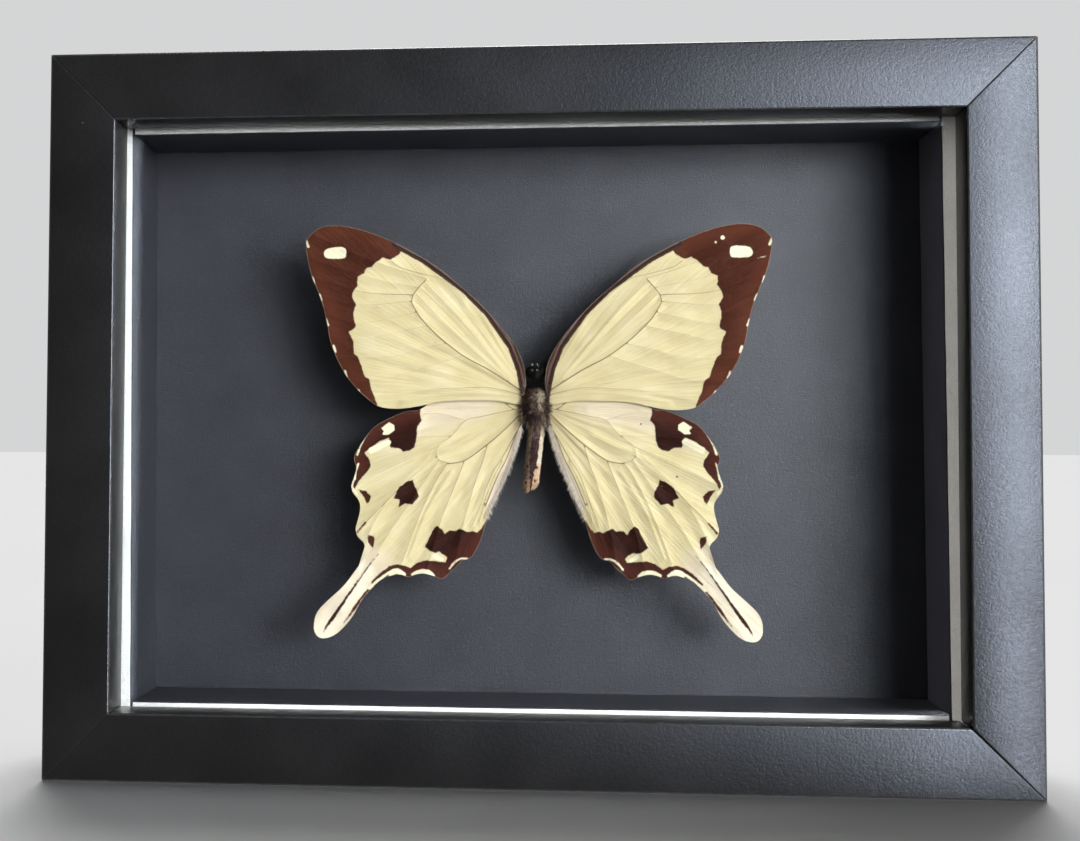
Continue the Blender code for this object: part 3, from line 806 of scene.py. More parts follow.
def smooth_line(points, step, closed=False):
    """A smooth curve through points, with a point about every step."""
    spots = [np.array(point) for point in points]
    if closed:
        spots = [spots[-1], *spots, *spots[:2]]
    else:
        spots = [2 * spots[0] - spots[1], *spots, 2 * spots[-1] - spots[-2]]
    curve = []
    for a, b, c, d in zip(spots, spots[1:], spots[2:], spots[3:]):
        parts = max(1, round(float(np.linalg.norm(c - b)) / step))
        for part in range(parts):
            t = part / parts
            curve.append(0.5 * (
                2 * b + (c - a) * t + (2 * a - 5 * b + 4 * c - d) * t**2
                + (3 * b - a - 3 * c + d) * t**3
            ))
    return np.array(curve if closed else [*curve, spots[-2]])


def wing_points(outline, veins, step):
    """Flat mesh of a wing: (spots, triangles, edge), with rows of points along its veins."""
    edge = smooth_line(outline, 0.45, closed=True)
    lines = [smooth_line(points, 0.6) for _, _, points in veins]
    low, high = edge.min(axis=0), edge.max(axis=0)
    rows = []
    for j, z in enumerate(np.arange(low[1], high[1], step * 0.866)):
        xs = np.arange(low[0] + (j % 2) * step / 2, high[0], step)
        rows.append(np.column_stack([xs, np.full(len(xs), z)]))
    grid = np.vstack(rows)
    keep = area_depth(grid, edge) > 0.45 * step
    for line in lines:
        keep &= line_distance(grid, line) > 0.5 * step
    points = [edge, grid[keep]]
    edges = [(i, (i + 1) % len(edge)) for i in range(len(edge))]
    start = len(edge) + int(keep.sum())
    for line in lines:
        inner = line[area_depth(line, edge) > 0.3]
        points.append(inner)
        edges += [(start + i, start + i + 1) for i in range(len(inner) - 1)]
        start += len(inner)
    flat = [Vector(point) for point in np.vstack(points)]
    ring = [list(range(len(edge)))]
    spots, _, triangles, *_ = geometry.delaunay_2d_cdt(flat, edges, ring, 1, 1e-6)
    return np.array([tuple(spot) for spot in spots]), triangles, edge


def wing_mesh(name, side, wing, seed):
    """A thin wing with veins, pleats and the numbers that its scales are coloured by."""
    spots, triangles, edge = wing["flat"]
    near = np.full(len(spots), 1e9)
    vein = np.full(len(spots), 1e9)
    for root, tip, points in wing["veins"]:
        line = smooth_line(points, 0.6)
        near = np.minimum(near, line_distance(spots, line))
        vein = np.minimum(vein, line_distance(spots, line, 0.15 * (root - 1), 0.15 * (tip - 1)))
    rim = area_depth(spots, edge)
    out = np.linalg.norm(spots - wing["root"], axis=1)
    fan = np.arctan2(spots[:, 1] - wing["root"][1], spots[:, 0] - wing["root"][0])
    folds = np.array([noise.noise(Vector((a * 16, r * 0.035, seed))) for a, r in zip(fan, out)])
    waves = np.array([noise.noise(Vector((x * 0.13, z * 0.13, seed))) for x, z in spots])
    crimps = np.array([noise.noise(Vector((x * 0.45, z * 0.45, seed + 9))) for x, z in spots])
    vein_proud, pleat_deep, fold_deep, wave_deep, crimp_deep, curl_deep = WING_RELIEF
    pleat = vein_proud * np.exp(-((near / 0.30) ** 2))
    pleat -= pleat_deep * (1 - np.exp(-((near / 1.4) ** 2)))
    pleat += fold_deep * folds * np.clip(out / 12, 0, 1)
    curl = curl_deep * np.exp(-np.clip(rim, 0, None) / 1.2) * waves
    rise = wing["depth"] - WING_RISE * spots[:, 0]
    rise = rise - pleat - wave_deep * waves - crimp_deep * crimps - curl
    turn = math.radians(wing["droop"][side])
    plan = spots * (0.993 - 0.00019 * spots[:, :1])   # a rising wing spans a little less
    plan = plan @ np.array([[math.cos(turn), math.sin(turn)], [-math.sin(turn), math.cos(turn)]])
    x = BODY_X + side * plan[:, 0] * MM
    z = FRAME_HEIGHT / 2 + plan[:, 1] * MM
    front = np.column_stack([x, rise * MM, z])
    back = front + (0, MEMBRANE, 0)
    count = len(front)
    faces = [tuple(t) for t in triangles] + [tuple(count + i for i in reversed(t)) for t in triangles]
    sides = [(a, b) for t in triangles for a, b in zip(t, (*t[1:], t[0]))]
    paired = set(sides)
    faces += [(b, a, count + a, count + b) for a, b in sides if (b, a) not in paired]
    mesh = bpy.data.meshes.new(name)
    mesh.from_pydata(np.vstack([front, back]).tolist(), [], faces)
    numbers = {"vein": vein, "rim": rim, "fan": fan, "out": out, **wing["marks_of"](spots, side)}
    for word, values in numbers.items():
        layer = mesh.attributes.new(word, "FLOAT", "POINT")
        layer.data.foreach_set("value", np.tile(values, 2).astype(np.float32))
    shape = bmesh.new()
    shape.from_mesh(mesh)
    bmesh.ops.recalc_face_normals(shape, faces=shape.faces[:])
    shape.to_mesh(mesh)
    shape.free()
    mesh.shade_smooth()
    mesh.set_sharp_from_angle(angle=math.radians(60))
    return mesh


def with_lines(mark, spots, lines):
    """A mark's depth at each spot, with some fine lines added to the mark."""
    for start, end, points in lines:
        mark = np.maximum(mark, -line_distance(spots, smooth_line(points, 0.5), start, end))
    return mark


def with_dots(mark, spots, dots):
    """The same with round dots of (radius, middle)."""
    for radius, dot in dots:
        mark = np.maximum(mark, radius - np.linalg.norm(spots - dot, axis=1))
    return mark


def forewing_marks(spots, side):
    """How deep each spot lies inside the forewing's marks. The right wing has a few more."""
    brown = area_depth(spots, BROWN_MARGIN)
    cream = area_depth(spots, smooth_line(APICAL_SPOT, 0.4, closed=True))
    for spot in FOREWING_FRINGE:
        dash = np.array(spot) + ((0.2, 0.6), (-0.2, -0.6))
        cream = np.maximum(cream, -line_distance(spots, dash, 0.24, 0.24))
    if side > 0:
        cream = with_dots(cream, spots, ((0.45, (39.3, 38.2)), (0.25, (37.8, 37.2))))
        cream = np.maximum(cream, -line_distance(spots, ((46.6, 33.8), (48.2, 34.2)), 0.06, 0.08))
    stripe = area_depth(spots, COSTAL_STRIPE)
    root = 3.0 - np.linalg.norm((spots - (3.0, 5.5)) * (0.6, 1.0), axis=1)
    none = np.full(len(spots), UNMARKED)
    return {
        "dark": brown, "cream": cream, "stripe": stripe, "root": root, "blush": none, "inner": none,
    }


def hindwing_marks(spots, side):
    """The same for the hindwing, with its rosy blush and the downy inner margin."""
    dark = np.maximum(area_depth(spots, COSTAL_BLOTCH), area_depth(spots, TORNAL_BLOTCH))
    for outline in HINDWING_SPOTS:
        dark = np.maximum(dark, area_depth(spots, outline))
    dark = with_lines(dark, spots, DARK_LINES)
    if side > 0:
        dark = with_dots(dark, spots, ((0.18, (22.4, -1.8)), (0.22, (29.9, -13.0))))
    cream = with_lines(area_depth(spots, WHITE_PATCH), spots, WHITE_LINES)
    root = 4.0 - np.linalg.norm((spots - (3.0, -2.0)) * (1.0, 0.35), axis=1)
    blush = 4.2 - line_distance(spots, ((12, 2.5), (26, -1.0), (33, -4.0)))
    blush = np.maximum(blush, 8.0 - line_distance(spots, ((37, -34), (41.5, -40.5), (46, -47))))
    inner = area_depth(spots, INNER_MARGIN)
    none = np.full(len(spots), UNMARKED)
    return {
        "dark": dark, "cream": cream, "stripe": none, "root": root, "blush": blush, "inner": inner,
    }


def wing_material(name, brown, umber, margin):
    """Cream and brown scales in faint rows, browner along the veins and paler where rubbed.

    The dark scales run from umber to brown, and towards the rim they turn to the margin's tone.
    Along the creases the scales are painted lighter on the ridges, and the cream ones darker in the
    grooves, as painted highlight and shade.
    """
    finish, tree = start_material(name, 0.66, 0.08)
    dust = grain(tree, 2600, 3.0)
    cloud = grain(tree, 150, 5.0)
    fray = maths(tree, "MULTIPLY_ADD", grain(tree, 1300, 4.0), 1.1, -0.55)

    def frayed(mark, by):
        """A mark's depth, its edge frayed by single scales."""
        return maths(tree, "MULTIPLY_ADD", fray, by, field(tree, mark))

    wide_noise = maths(tree, "MULTIPLY_ADD", grain(tree, 420, 4.0), 1.2, -0.6)
    rays = tree.nodes.new("ShaderNodeCombineXYZ")
    tree.links.new(maths(tree, "MULTIPLY", field(tree, "fan"), 70.0), rays.inputs["X"])
    tree.links.new(maths(tree, "MULTIPLY", field(tree, "out"), 0.10), rays.inputs["Y"])
    crease = tree.nodes.new("ShaderNodeTexNoise")
    crease.inputs["Scale"].default_value = 1.0
    crease.inputs["Detail"].default_value = 5.0
    tree.links.new(rays.outputs[0], crease.inputs["Vector"])
    crease = crease.outputs["Fac"]
    # Cream tone follows the crease relief: painted highlight on the ridges, painted shade in the grooves.
    tint = maths(tree, "MULTIPLY_ADD", cloud, 0.5, maths(tree, "MULTIPLY", crease, 0.5))
    cream = ramp(
        tree, tint,
        (0.30, (0.505, 0.412, 0.214)), (0.50, (0.583, 0.491, 0.280)), (0.72, (0.661, 0.580, 0.380)),
    )
    blush = maths(tree, "ADD", field(tree, "blush"), wide_noise)
    cream = mix(tree, between(tree, blush, -0.6, 3.0, 0.0, 0.75), cream, (0.64, 0.535, 0.405))
    cream = mix(tree, between(tree, blush, 4.2, 6.6, 0.0, 0.9), cream, (0.80, 0.69, 0.535))
    root = maths(tree, "ADD", field(tree, "root"), wide_noise)
    hairy = between(tree, crease, 0.35, 0.60, 0.15, 1.0)
    hairy = maths(tree, "MULTIPLY", hairy, between(tree, root, 0.0, 3.4, 0.0, 0.55))
    cream = mix(tree, hairy, cream, (0.24, 0.16, 0.10))
    # The downy margin is painted lighter on the crease ridges too, as painted highlight.
    downy = ramp(tree, crease, (0.35, (0.40, 0.315, 0.265)), (0.60, (0.72, 0.62, 0.52)))
    inner = between(tree, frayed("inner", 0.5), -0.15, 0.35, 0.0, 0.85)
    cream = mix(tree, inner, cream, downy)
    vein = frayed("vein", 0.06)
    vein_share = between(tree, vein, 0.03, 0.19, 0.88, 0.0)
    cream = mix(tree, vein_share, cream, (0.165, 0.108, 0.062))
    dirt = between(tree, grain(tree, 700, 5.0), 0.62, 0.80, 0.0, 0.30)
    cream = mix(tree, dirt, cream, (0.42, 0.33, 0.20))
    dark = ramp(tree, dust, (0.30, umber), (0.70, brown))
    paler = tuple(min(1.0, 1.7 * c) for c in brown)
    dark = mix(tree, between(tree, wide_noise, 0.05, 0.35, 0.0, 0.35), dark, paler)
    # Dark scales are painted paler on the crease ridges, as painted highlight.
    dark = mix(tree, between(tree, crease, 0.52, 0.70, 0.0, 0.35), dark, paler)
    darker = tuple(0.5 * c for c in umber)
    dark = mix(tree, between(tree, vein, 0.04, 0.26, 0.50, 0.0), dark, darker)
    dark = mix(tree, between(tree, field(tree, "rim"), 0.8, 4.5, 0.75, 0.0), dark, margin)
    dark = mix(tree, specks(tree, 850, 0.07, 0.15, 0.5), dark, (0.42, 0.27, 0.20))
    body = mix(tree, between(tree, frayed("dark", 0.40), -0.16, 0.16), cream, dark)
    stripe = frayed("stripe", 0.30)
    # The pale band in the middle of the stripe is a painted highlight along the costal vein.
    stripe_colour_and_highlight = ramp(
        tree, between(tree, stripe, 0.0, 2.4),
        (0.0, (0.055, 0.026, 0.018)), (0.16, (0.022, 0.009, 0.007)), (0.28, (0.060, 0.030, 0.023)),
        (0.42, (0.140, 0.088, 0.072)), (0.58, (0.060, 0.031, 0.026)), (1.0, (0.036, 0.016, 0.014)),
    )
    body = mix(tree, between(tree, stripe, -0.20, 0.10), body, stripe_colour_and_highlight)
    pale_mark = between(tree, frayed("cream", 0.30), -0.14, 0.14)
    body = mix(tree, pale_mark, body, (0.78, 0.71, 0.50))
    worn = between(tree, frayed("rim", 0.25), 0.02, 0.20, 0.30, 0.0)
    body = mix(tree, worn, body, (0.50, 0.42, 0.30))
    rough = between(tree, dust, 0.3, 0.7, 0.58, 0.76)
    scales = grain(tree, 4200, 2.0, (0.55, 1.0, 1.0))
    height = maths(tree, "MULTIPLY_ADD", dust, 0.8, scales)
    height = maths(tree, "MULTIPLY_ADD", crease, 3.6, height)
    return coat(finish, body, rough, height, 0.035 * MM)


forewing_scales = wing_material(
    "forewing_scales", (0.070, 0.020, 0.010), (0.040, 0.010, 0.005), (0.086, 0.024, 0.012)
)
hindwing_scales = wing_material(
    "hindwing_scales", (0.033, 0.009, 0.006), (0.014, 0.003, 0.002), (0.068, 0.018, 0.011)
)
# droop is the turn in degrees of the left (-1) and right (1) wing about the body's middle
wings = {
    "forewing": {
        "outline": FOREWING, "veins": FOREWING_VEINS, "marks_of": forewing_marks,
        "depth": FOREWING_DEPTH, "root": (1.0, 4.0), "droop": {-1: 0.0, 1: -0.5},
        "finish": forewing_scales,
    },
    "hindwing": {
        "outline": HINDWING, "veins": HINDWING_VEINS, "marks_of": hindwing_marks,
        "depth": HINDWING_DEPTH, "root": (0.5, 2.5), "droop": {-1: 0.0, 1: 0.4},
        "finish": hindwing_scales,
    },
}
for kind, wing in wings.items():
    wing["flat"] = wing_points(wing["outline"], wing["veins"], 0.30)
    for side, word in ((-1, "left"), (1, "right")):
        mesh = wing_mesh(f"{kind}_{word}_membrane", side, wing, 3.0 + side)
        new_piece(f"{kind}_{word}_membrane", mesh, f"{kind}_{word}", "wing_scales", wing["finish"])

# Body. The butterfly's dried body: a furry thorax where the wings join, a scaly head with two
# round eyes and furry palps, and a segmented abdomen. Its hairs are thin tapered threads.

BODY_MIDDLE = Vector((BODY_X, -2.2 * MM, FRAME_HEIGHT / 2))


def heading(turn, height):
    """The way out from a ball's middle, at a turn about Z and a height from -1 to 1."""
    wide = math.sqrt(max(0.0, 1 - height * height))
    return Vector((wide * math.cos(turn), wide * math.sin(turn), height))


def egg(centre, size, lumps=0.0):
    """The shape of a closed egg-like skin."""
    def shape_of(turn, share):
        way = heading(turn, -math.cos(math.pi * min(max(share, 0.02), 0.98)))
        return centre + way * size * (1 + lumps * noise.noise(way * 3.0))
    return shape_of


def stray(dice, spread):
    """A small chance lean in all three directions."""
    return Vector([dice.gauss(0, spread) for _ in range(3)])


def held(value):
    """A tone held between 0 and 1."""
    return min(1.0, max(0.0, value))


class Pelt:
    """The skins and hairs of one furred piece, each point with its tone."""

    def __init__(self):
        self.points, self.faces, self.tones = [], [], []

    def skin(self, rings, sides, shape_of, tone_of):
        """A closed skin from shape_of(turn, share), share from 0 to 1, and its tones likewise."""
        start = len(self.points)
        for ring in range(rings + 1):
            for k in range(sides):
                turn, share = math.tau * k / sides, ring / rings
                self.points.append(shape_of(turn, share))
                self.tones.append(tone_of(turn, share) if callable(tone_of) else tone_of)
        for ring in range(rings):
            for k in range(sides):
                n = (k + 1) % sides
                a, b = start + ring * sides, start + (ring + 1) * sides
                self.faces.append((a + k, a + n, b + n, b + k))
        top = start + rings * sides
        self.faces.append(tuple(reversed(range(start, start + sides))))
        self.faces.append(tuple(range(top, top + sides)))

    def hair(self, root, lean, length, thick, tone, droop):
        """One three-sided tapering hair."""
        lean = lean.normalized()
        side = lean.orthogonal().normalized()
        other = lean.cross(side)
        first = len(self.points)
        for share, width in ((0.0, 1.0), (0.5, 0.7)):
            centre = root + lean * (length * share) + droop * (share * share * length)
            for k in range(3):
                a = math.tau * k / 3
                edge = (side * math.cos(a) + other * math.sin(a)) * thick * width
                self.points.append(centre + edge)
        self.points.append(root + lean * length + droop * length)
        self.tones += [tone] * 7
        for k in range(3):
            n = (k + 1) % 3
            self.faces.append((first + k, first + n, first + 3 + n, first + 3 + k))
            self.faces.append((first + 3 + k, first + 3 + n, first + 6))

    def piece(self, name, node, slot, fur):
        """Makes the mesh and its piece."""
        mesh = bpy.data.meshes.new(name)
        mesh.from_pydata([tuple(p) for p in self.points], [], self.faces)
        layer = mesh.attributes.new("tone", "FLOAT", "POINT")
        layer.data.foreach_set("value", self.tones)
        mesh.shade_smooth()
        return new_piece(name, mesh, node, slot, fur)


def fur_material(name, roughness, *stops):
    """Hair and scales coloured by their own tone number."""
    finish, tree = start_material(name, roughness, 0.15)
    flecks = maths(tree, "MULTIPLY_ADD", grain(tree, 3200, 3.0), 0.5, -0.25)
    tone = maths(tree, "ADD", field(tree, "tone"), flecks)
    return coat(finish, ramp(tree, tone, *stops), None, grain(tree, 3600, 2.0), 0.05 * MM)


# (across, up, half width, half height, how much paler) of the thorax's tufts, in mm; the first two,
# right of the middle, are a cream hump that is partly a painted highlight
PALE_TUFTS_AND_HIGHLIGHT = (
    (0.7, 4.3, 0.60, 1.0, 1.1), (0.8, 2.6, 0.55, 1.5, 0.60), (-1.4, -0.9, 0.45, 0.35, 1.0),
    (1.8, -0.5, 0.5, 0.5, 1.0),
)


def make_thorax():
    """A ball of combed fur, with side tufts over the wing roots and a skirt over the waist."""
    dice = random.Random(11)
    centre = BODY_MIDDLE + Vector((0.1, -0.5, 2.4)) * MM
    size = Vector((3.0, 3.4, 3.8)) * MM

    def tone_at(spot):
        """Brown fur in darker and paler clumps, with cream tufts; the hump right of the middle is partly
        painted highlight.
        """
        clump = 0.19 + 0.55 * noise.noise(spot * (1.25 / MM)) + dice.gauss(0, 0.10)
        for x, z, wide, tall, gain in PALE_TUFTS_AND_HIGHLIGHT:
            near = ((spot.x / MM - x) / wide) ** 2 + ((spot.z / MM - z) / tall) ** 2
            clump += gain * math.exp(-near)
        return held(clump)

    combed_hairs, side_hairs, waist_hairs = 4600, 420, 500
    pelt = Pelt()
    pelt.skin(28, 36, egg(centre, size * 0.90, 0.05), 0.10)
    for _ in range(combed_hairs):
        height = dice.uniform(-0.98, 0.98)
        way = heading(dice.uniform(0, math.tau), height)
        if way.y > 0.55:
            continue
        root = centre + way * size * 0.88
        lean = way * 0.9 + Vector((way.x * 0.8, -0.1, -0.55)) + stray(dice, 0.38)
        length = dice.uniform(0.6, 1.5) * MM
        tone = tone_at(root - BODY_MIDDLE)
        pelt.hair(root, lean, length, 0.045 * MM, tone, Vector((0, 0.1, -0.2)))
    for side in (-1, 1):
        for _ in range(side_hairs):
            up = dice.uniform(-1.8, 6.4)
            spot = Vector((side * dice.uniform(2.1, 3.0), dice.uniform(-2.6, -1.6), up))
            lean = Vector((side, -0.25, (up - 2.2) * 0.22)) + stray(dice, 0.25)
            tone = dice.uniform(0.10, 0.55)
            length = dice.uniform(0.5, 1.3) * MM
            root = BODY_MIDDLE + spot * MM
            pelt.hair(root, lean, length, 0.028 * MM, tone, Vector((0, 0, -0.1)))
    for _ in range(waist_hairs):
        turn = dice.uniform(math.pi, math.tau)
        across, out = 0.2 + 1.9 * math.cos(turn), 2.1 * math.sin(turn)
        root = BODY_MIDDLE + Vector((across, out, dice.uniform(-1.4, -0.2))) * MM
        lean = Vector((dice.gauss(0, 0.25), -0.25, -1.0))
        paler = 0.6 if abs(math.cos(turn)) > 0.80 else 0.0
        tone = held(dice.gauss(0.30, 0.16) + paler)
        length = dice.uniform(0.8, 2.0) * MM
        pelt.hair(root, lean, length, 0.030 * MM, tone, Vector((0, 0.05, -0.1)))
    fur = fur_material(
        "thorax_fur", 0.70, (0.0, (0.014, 0.007, 0.006)), (0.30, (0.085, 0.052, 0.040)),
        (0.55, (0.250, 0.175, 0.135)), (0.80, (0.50, 0.40, 0.28)), (1.0, (0.84, 0.77, 0.58)),
    )
    pelt.piece("thorax_fur", "thorax", "body_fur", fur)


def make_head():
    """A dark head with its two round eyes, two palps in front, four pale dots and dark fur."""
    dice = random.Random(12)
    centre = BODY_MIDDLE + Vector((0, -0.2 * MM, 9.0 * MM))
    pelt = Pelt()

    def ball(rings, sides, spot, size, tone):
        shape_of = egg(centre + Vector(spot) * MM, Vector(size) * MM)
        pelt.skin(rings, sides, shape_of, tone)

    ball(20, 24, (0, 0, 0), (1.5, 1.6, 1.7), 0.1)
    for side in (-1, 1):
        ball(24, 28, (side * 1.15, -0.25, 0.45), (0.95, 1.15, 1.25), 0.0)
        for along in (0.35, 0.8):
            ball(10, 12, (side * 0.45, -0.9, 0.9 + along), (0.40, 0.42, 0.70), 0.25)
        for up, out in ((2.0, 0.50), (0.75, 0.48)):
            ball(8, 10, (side * out - 0.15, -1.55, up), (0.26, 0.18, 0.28), 0.78)
    for _ in range(900):
        way = Vector((dice.gauss(0, 0.45), -abs(dice.gauss(0, 0.8)), dice.gauss(0.1, 0.8)))
        way.normalize()
        if abs(way.x) > 0.62 and way.z > -0.35:
            continue
        root = centre + way * Vector((1.4, 1.5, 1.6)) * MM
        lean = way + Vector((dice.gauss(0, 0.3), -0.1, 0.5 + dice.gauss(0, 0.3)))
        tone = dice.uniform(0.0, 0.35) if dice.random() < 0.92 else dice.uniform(0.4, 0.6)
        length = dice.uniform(0.5, 1.0) * MM
        pelt.hair(root, lean, length, 0.026 * MM, tone, Vector((0, -0.1, 0.1)))
    shell = fur_material(
        "head_shell", 0.75, (0.0, (0.004, 0.003, 0.003)), (0.35, (0.012, 0.008, 0.007)),
        (0.65, (0.070, 0.066, 0.062)), (1.0, (0.20, 0.19, 0.17)),
    )
    pelt.piece("head_and_eyes", "head", "dark_chitin", shell)


# (left to right share, head to tip share) of the dark spots on the abdomen's tip
TIP_SPOTS = ((-0.67, 0.60), (0.55, 0.62), (0.12, 0.70), (-0.12, 0.76), (0.50, 0.81), (-0.55, 0.84))


def make_abdomen():
    """Eight dried segments narrowing to a blunt tip, dark down the middle, cream on the right and a darker
    tan on the left that is painted shade.
    """
    dice = random.Random(13)
    neck = BODY_MIDDLE + Vector((0.22 * MM, 0, -1.8 * MM))
    length, half, segments = 14.5, 1.72, 8

    def radius_at(share):
        tip = math.sqrt(max(0.03, 1 - (max(0.0, share - 0.84) / 0.17) ** 2))
        crease = 1 - 0.05 * math.exp(-(((share * segments) % 1.0 - 0.5) ** 2 - 0.25) ** 2 / 0.002)
        waist = 0.80 + 0.20 * min(1.0, share / 0.12)
        return half * waist * tip * (1 - 0.07 * share) * crease

    def shape_of(turn, share):
        r = radius_at(min(share, 0.999))
        down = length * share
        x = r * math.cos(turn) - 0.098 * down
        cut_off = 0.55 * max(0.0, share - 0.8) / 0.2 * (1 + math.cos(turn))
        return neck + Vector((x, r * math.sin(turn), cut_off - down)) * MM

    def tone_at(turn, share):
        across = math.cos(turn) + 0.16 * noise.noise(Vector((share * 14, math.sin(turn), 2.0)))
        mottle = 0.45 * noise.noise(Vector((across * 2.2, share * 16, math.sin(turn))))
        stripe = 0.50 if share < 0.5 else max(0.12, 0.50 - 1.2 * (share - 0.5))
        if abs(across - 0.08) < stripe:
            tone = 0.05 + 0.4 * abs(mottle) if share > 0.2 else 0.22 + 0.5 * mottle
        # The left side is painted a darker tan than the right's cream: painted shade on the side away from
        # the light.
        elif across < 0:
            tone = (0.38 if share < 0.8 else 0.50) + 0.3 * mottle
        elif share < 0.56:
            tone = 0.82 + 0.3 * share - 0.35 * abs(mottle)
        else:
            tone = 0.66 + 0.35 * mottle
        for x, down in TIP_SPOTS:
            if share > 0.55 and math.hypot((across - x) * half, (share - down) * length) < 0.30:
                tone = 0.06
        return tone

    pelt = Pelt()
    pelt.skin(120, 64, shape_of, tone_at)
    for _ in range(3600):
        share = dice.uniform(0.0, 0.985)
        turn = dice.uniform(math.pi * 0.95, math.pi * 2.05)
        out = Vector((math.cos(turn), math.sin(turn), -0.1))
        lean = out * 0.30 + Vector((dice.gauss(0, 0.15), dice.gauss(0, 0.15), -1.0))
        tone = held(tone_at(turn, share) + dice.gauss(0, 0.10))
        long = dice.uniform(0.25, 0.60) if share > 0.12 else dice.uniform(0.5, 1.1)
        root = shape_of(turn, share)
        pelt.hair(root, lean, long * MM, 0.030 * MM, tone, Vector((0, 0, -0.05)))
    belly = fur_material(
        "abdomen_scales", 0.68, (0.0, (0.032, 0.013, 0.019)), (0.20, (0.085, 0.048, 0.044)),
        (0.38, (0.185, 0.140, 0.105)), (0.54, (0.42, 0.22, 0.095)), (0.67, (0.72, 0.47, 0.28)),
        (0.80, (0.55, 0.47, 0.38)), (1.0, (0.82, 0.75, 0.57)),
    )
    pelt.piece("abdomen_scales", "abdomen", "abdomen_scales", belly)


def make_inner_down(word, side):
    """Pale down along the hindwing's inner edge, beside the abdomen."""
    dice = random.Random(14 + side)
    edge = smooth_line(((2.9, -2.5), (4.8, -9.0), (8.0, -16.6), (10.2, -21.4)), 0.3)
    pelt = Pelt()
    for _ in range(900):
        x, z = edge[dice.randrange(len(edge))]
        root = Vector((BODY_X + side * (x + dice.uniform(-0.2, 0.9)) * MM, 0, 0))
        root.y = (HINDWING_DEPTH - WING_RISE * x) * MM - MEMBRANE
        root.z = FRAME_HEIGHT / 2 + (z + dice.uniform(-0.3, 0.3)) * MM
        lean = Vector((-side * 0.55 + dice.gauss(0, 0.15), dice.gauss(-0.1, 0.12), -1.0))
        tone = held(dice.gauss(0.55, 0.30))
        length = dice.uniform(0.5, 1.2) * MM
        pelt.hair(root, lean, length, 0.022 * MM, tone, Vector((0, 0.1, 0)))
    down = fur_material(
        f"hindwing_{word}_down", 0.75, (0.0, (0.15, 0.11, 0.09)), (0.45, (0.56, 0.47, 0.39)),
        (1.0, (0.86, 0.80, 0.70)),
    )
    pelt.piece(f"hindwing_{word}_down", f"hindwing_{word}", "wing_scales", down)


make_thorax()
make_head()
make_abdomen()
make_inner_down("left", -1)
make_inner_down("right", 1)

# Studio. A pale paper floor in a pale room, with a soft window-like light to the right, a sky light
# above and one behind. Further soft lights give the foil, the board and the foam their own sheen.
# The camera stands in front, a little to the right of the middle.


def studio_paper():
    """Plain pale paper, very slightly uneven."""
    finish, tree = start_material("studio_paper", 0.8, 0.3)
    shade, light = (0.712, 0.712, 0.717), (0.728, 0.728, 0.733)
    return coat(finish, ramp(tree, grain(tree, 3, 4.0), (0.3, shade), (0.7, light)))


def soft_light(name, spot, target, wide, tall, power, colour):
    """A rectangular light at its spot, in metres, facing the target."""
    light = bpy.data.lights.new(name, "AREA")
    light.shape, light.size, light.size_y = "RECTANGLE", wide, tall
    light.energy, light.color = power, colour
    holder = bpy.data.objects.new(name, light)
    holder.location = spot
    holder.rotation_euler = (target - spot).to_track_quat("-Z", "Y").to_euler()
    bpy.context.scene.collection.objects.link(holder)
    holder.visible_camera = False
    return holder


def towards(turn, rise):
    """The way from the frame to a light, turned right by degrees and rising by a share."""
    angle = math.radians(turn)
    return Vector((math.sin(angle), -math.cos(angle), rise))


floor_mesh = bpy.data.meshes.new("floor")
far = 30.0
corners = [(-far, -far, 0), (far, -far, 0), (far, far, 0), (-far, far, 0)]
floor_mesh.from_pydata(corners, [], [(0, 1, 2, 3)])
floor_mesh.materials.append(studio_paper())
floor = bpy.data.objects.new("floor", floor_mesh)
floor.visible_glossy = floor.visible_diffuse = floor.visible_transmission = False
bpy.context.scene.collection.objects.link(floor)
floor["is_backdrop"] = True

subject = Vector((0, 0, FRAME_HEIGHT / 2))
window_spot = subject + towards(40, math.tan(math.radians(9.5))).normalized()
curtain_spot = subject + 3.0 * towards(22, 0.03)
cool, warm = (0.74, 0.83, 1.0), (1.0, 0.94, 0.92)
lights = {}
for name, spot, wide, tall, power, colour in (
    ("window_light", window_spot, 0.42, 0.30, 9.3, (0.94, 0.96, 1.0)),
    ("rail_fill", window_spot, 0.42, 0.30, 15.0, (0.97, 0.98, 1.0)),
    ("back_light", Vector((0.3, 1.2, 1.0)), 1.2, 0.8, 8.0, (1.0, 0.99, 0.97)),
    ("curtain_light", curtain_spot, 0.40, 2.2, 114.0, cool),
    ("board_sheen", curtain_spot, 0.40, 2.2, 38.0, cool),
    ("left_bounce", subject + towards(-55, 0.15), 0.8, 0.8, 15.0, warm),
):
    lights[name] = soft_light(name, spot, subject, wide, tall, power, colour)
lights["rail_fill"].visible_glossy = False
lights["curtain_light"].visible_diffuse = lights["board_sheen"].visible_diffuse = False

sky = bpy.data.lights.new("sky_light", "SUN")
sky.energy, sky.angle = 2.8, math.radians(30)
lights["sky_light"] = bpy.data.objects.new("sky_light", sky)
lights["sky_light"].rotation_euler = (math.radians(-24), 0, 0)
bpy.context.scene.collection.objects.link(lights["sky_light"])

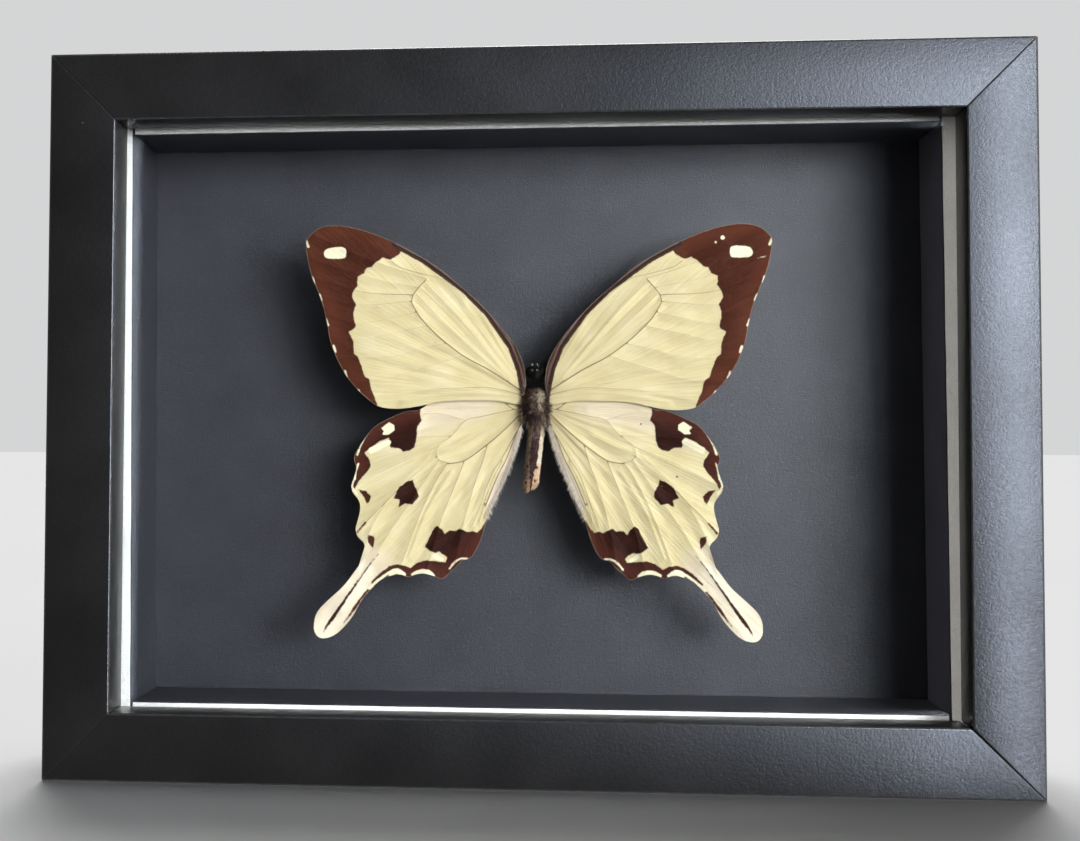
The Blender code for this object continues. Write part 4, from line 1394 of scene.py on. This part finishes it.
# What each light falls on, or leaves out, as a screen beside it would do.
for name, falls_on, pieces in (
    ("curtain_light", "INCLUDE", rail_pieces), ("rail_fill", "INCLUDE", rail_pieces),
    ("board_sheen", "INCLUDE", [board]), ("left_bounce", "INCLUDE", strip_pieces),
    ("back_light", "EXCLUDE", [floor]), ("window_light", "EXCLUDE", [floor, *rail_pieces]),
    ("sky_light", "EXCLUDE", [board]),
):
    group = bpy.data.collections.new(name + "_pieces")
    for piece in pieces:
        group.objects.link(piece)
    lights[name].light_linking.receiver_collection = group
    for entry in group.collection_objects:
        entry.light_linking.link_state = falls_on

scene = bpy.context.scene
world = bpy.data.worlds.new("studio")
world.use_nodes = True
scene.world = world
tree = world.node_tree
way = tree.nodes.new("ShaderNodeTexCoord").outputs["Generated"]
split = tree.nodes.new("ShaderNodeSeparateXYZ")
tree.links.new(way, split.inputs[0])
ray = tree.nodes.new("ShaderNodeLightPath")
front = between(tree, split.outputs["Y"], -0.82, -0.50, 0.0, 0.12)
softer = between(tree, ray.outputs["Is Diffuse Ray"], 0.0, 1.0, 1.0, 0.3)
front = maths(tree, "MULTIPLY", front, softer)
room = between(tree, split.outputs["Y"], -0.10, 0.20, 0.0, 0.38)
beside = between(tree, split.outputs["X"], 0.45, 0.75, 0.0, 1.5)
not_behind = between(tree, split.outputs["Y"], -0.45, -0.20, 1.0, 0.0)
beside = maths(tree, "MULTIPLY", beside, not_behind)
fill = maths(tree, "ADD", maths(tree, "ADD", front, room), beside)
seen = mix(tree, ray.outputs["Is Camera Ray"], fill, (0.66, 0.665, 0.67))
tree.links.new(seen, tree.nodes["Background"].inputs["Color"])

camera_data = bpy.data.cameras.new("camera")
camera_data.lens, camera_data.sensor_width = 45.0, 36.0
camera_data.shift_x, camera_data.shift_y = 0.0722, -0.0162
camera_data.clip_start = 0.01
camera_data.dof.use_dof = False
camera = bpy.data.objects.new("camera", camera_data)
camera_spot = Matrix.Translation((0.0063, -0.2903, 0.0678))
ahead = Vector((-0.0741, 0.9966, 0.0350)).normalized()
right = ahead.cross(Vector((-0.0002, -0.0351, 0.9994))).normalized()
up = right.cross(ahead)
camera.matrix_world = camera_spot @ Matrix((right, up, -ahead)).transposed().to_4x4()
bpy.context.scene.collection.objects.link(camera)
scene.camera = camera
scene.view_settings.view_transform = "Standard"

low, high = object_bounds()
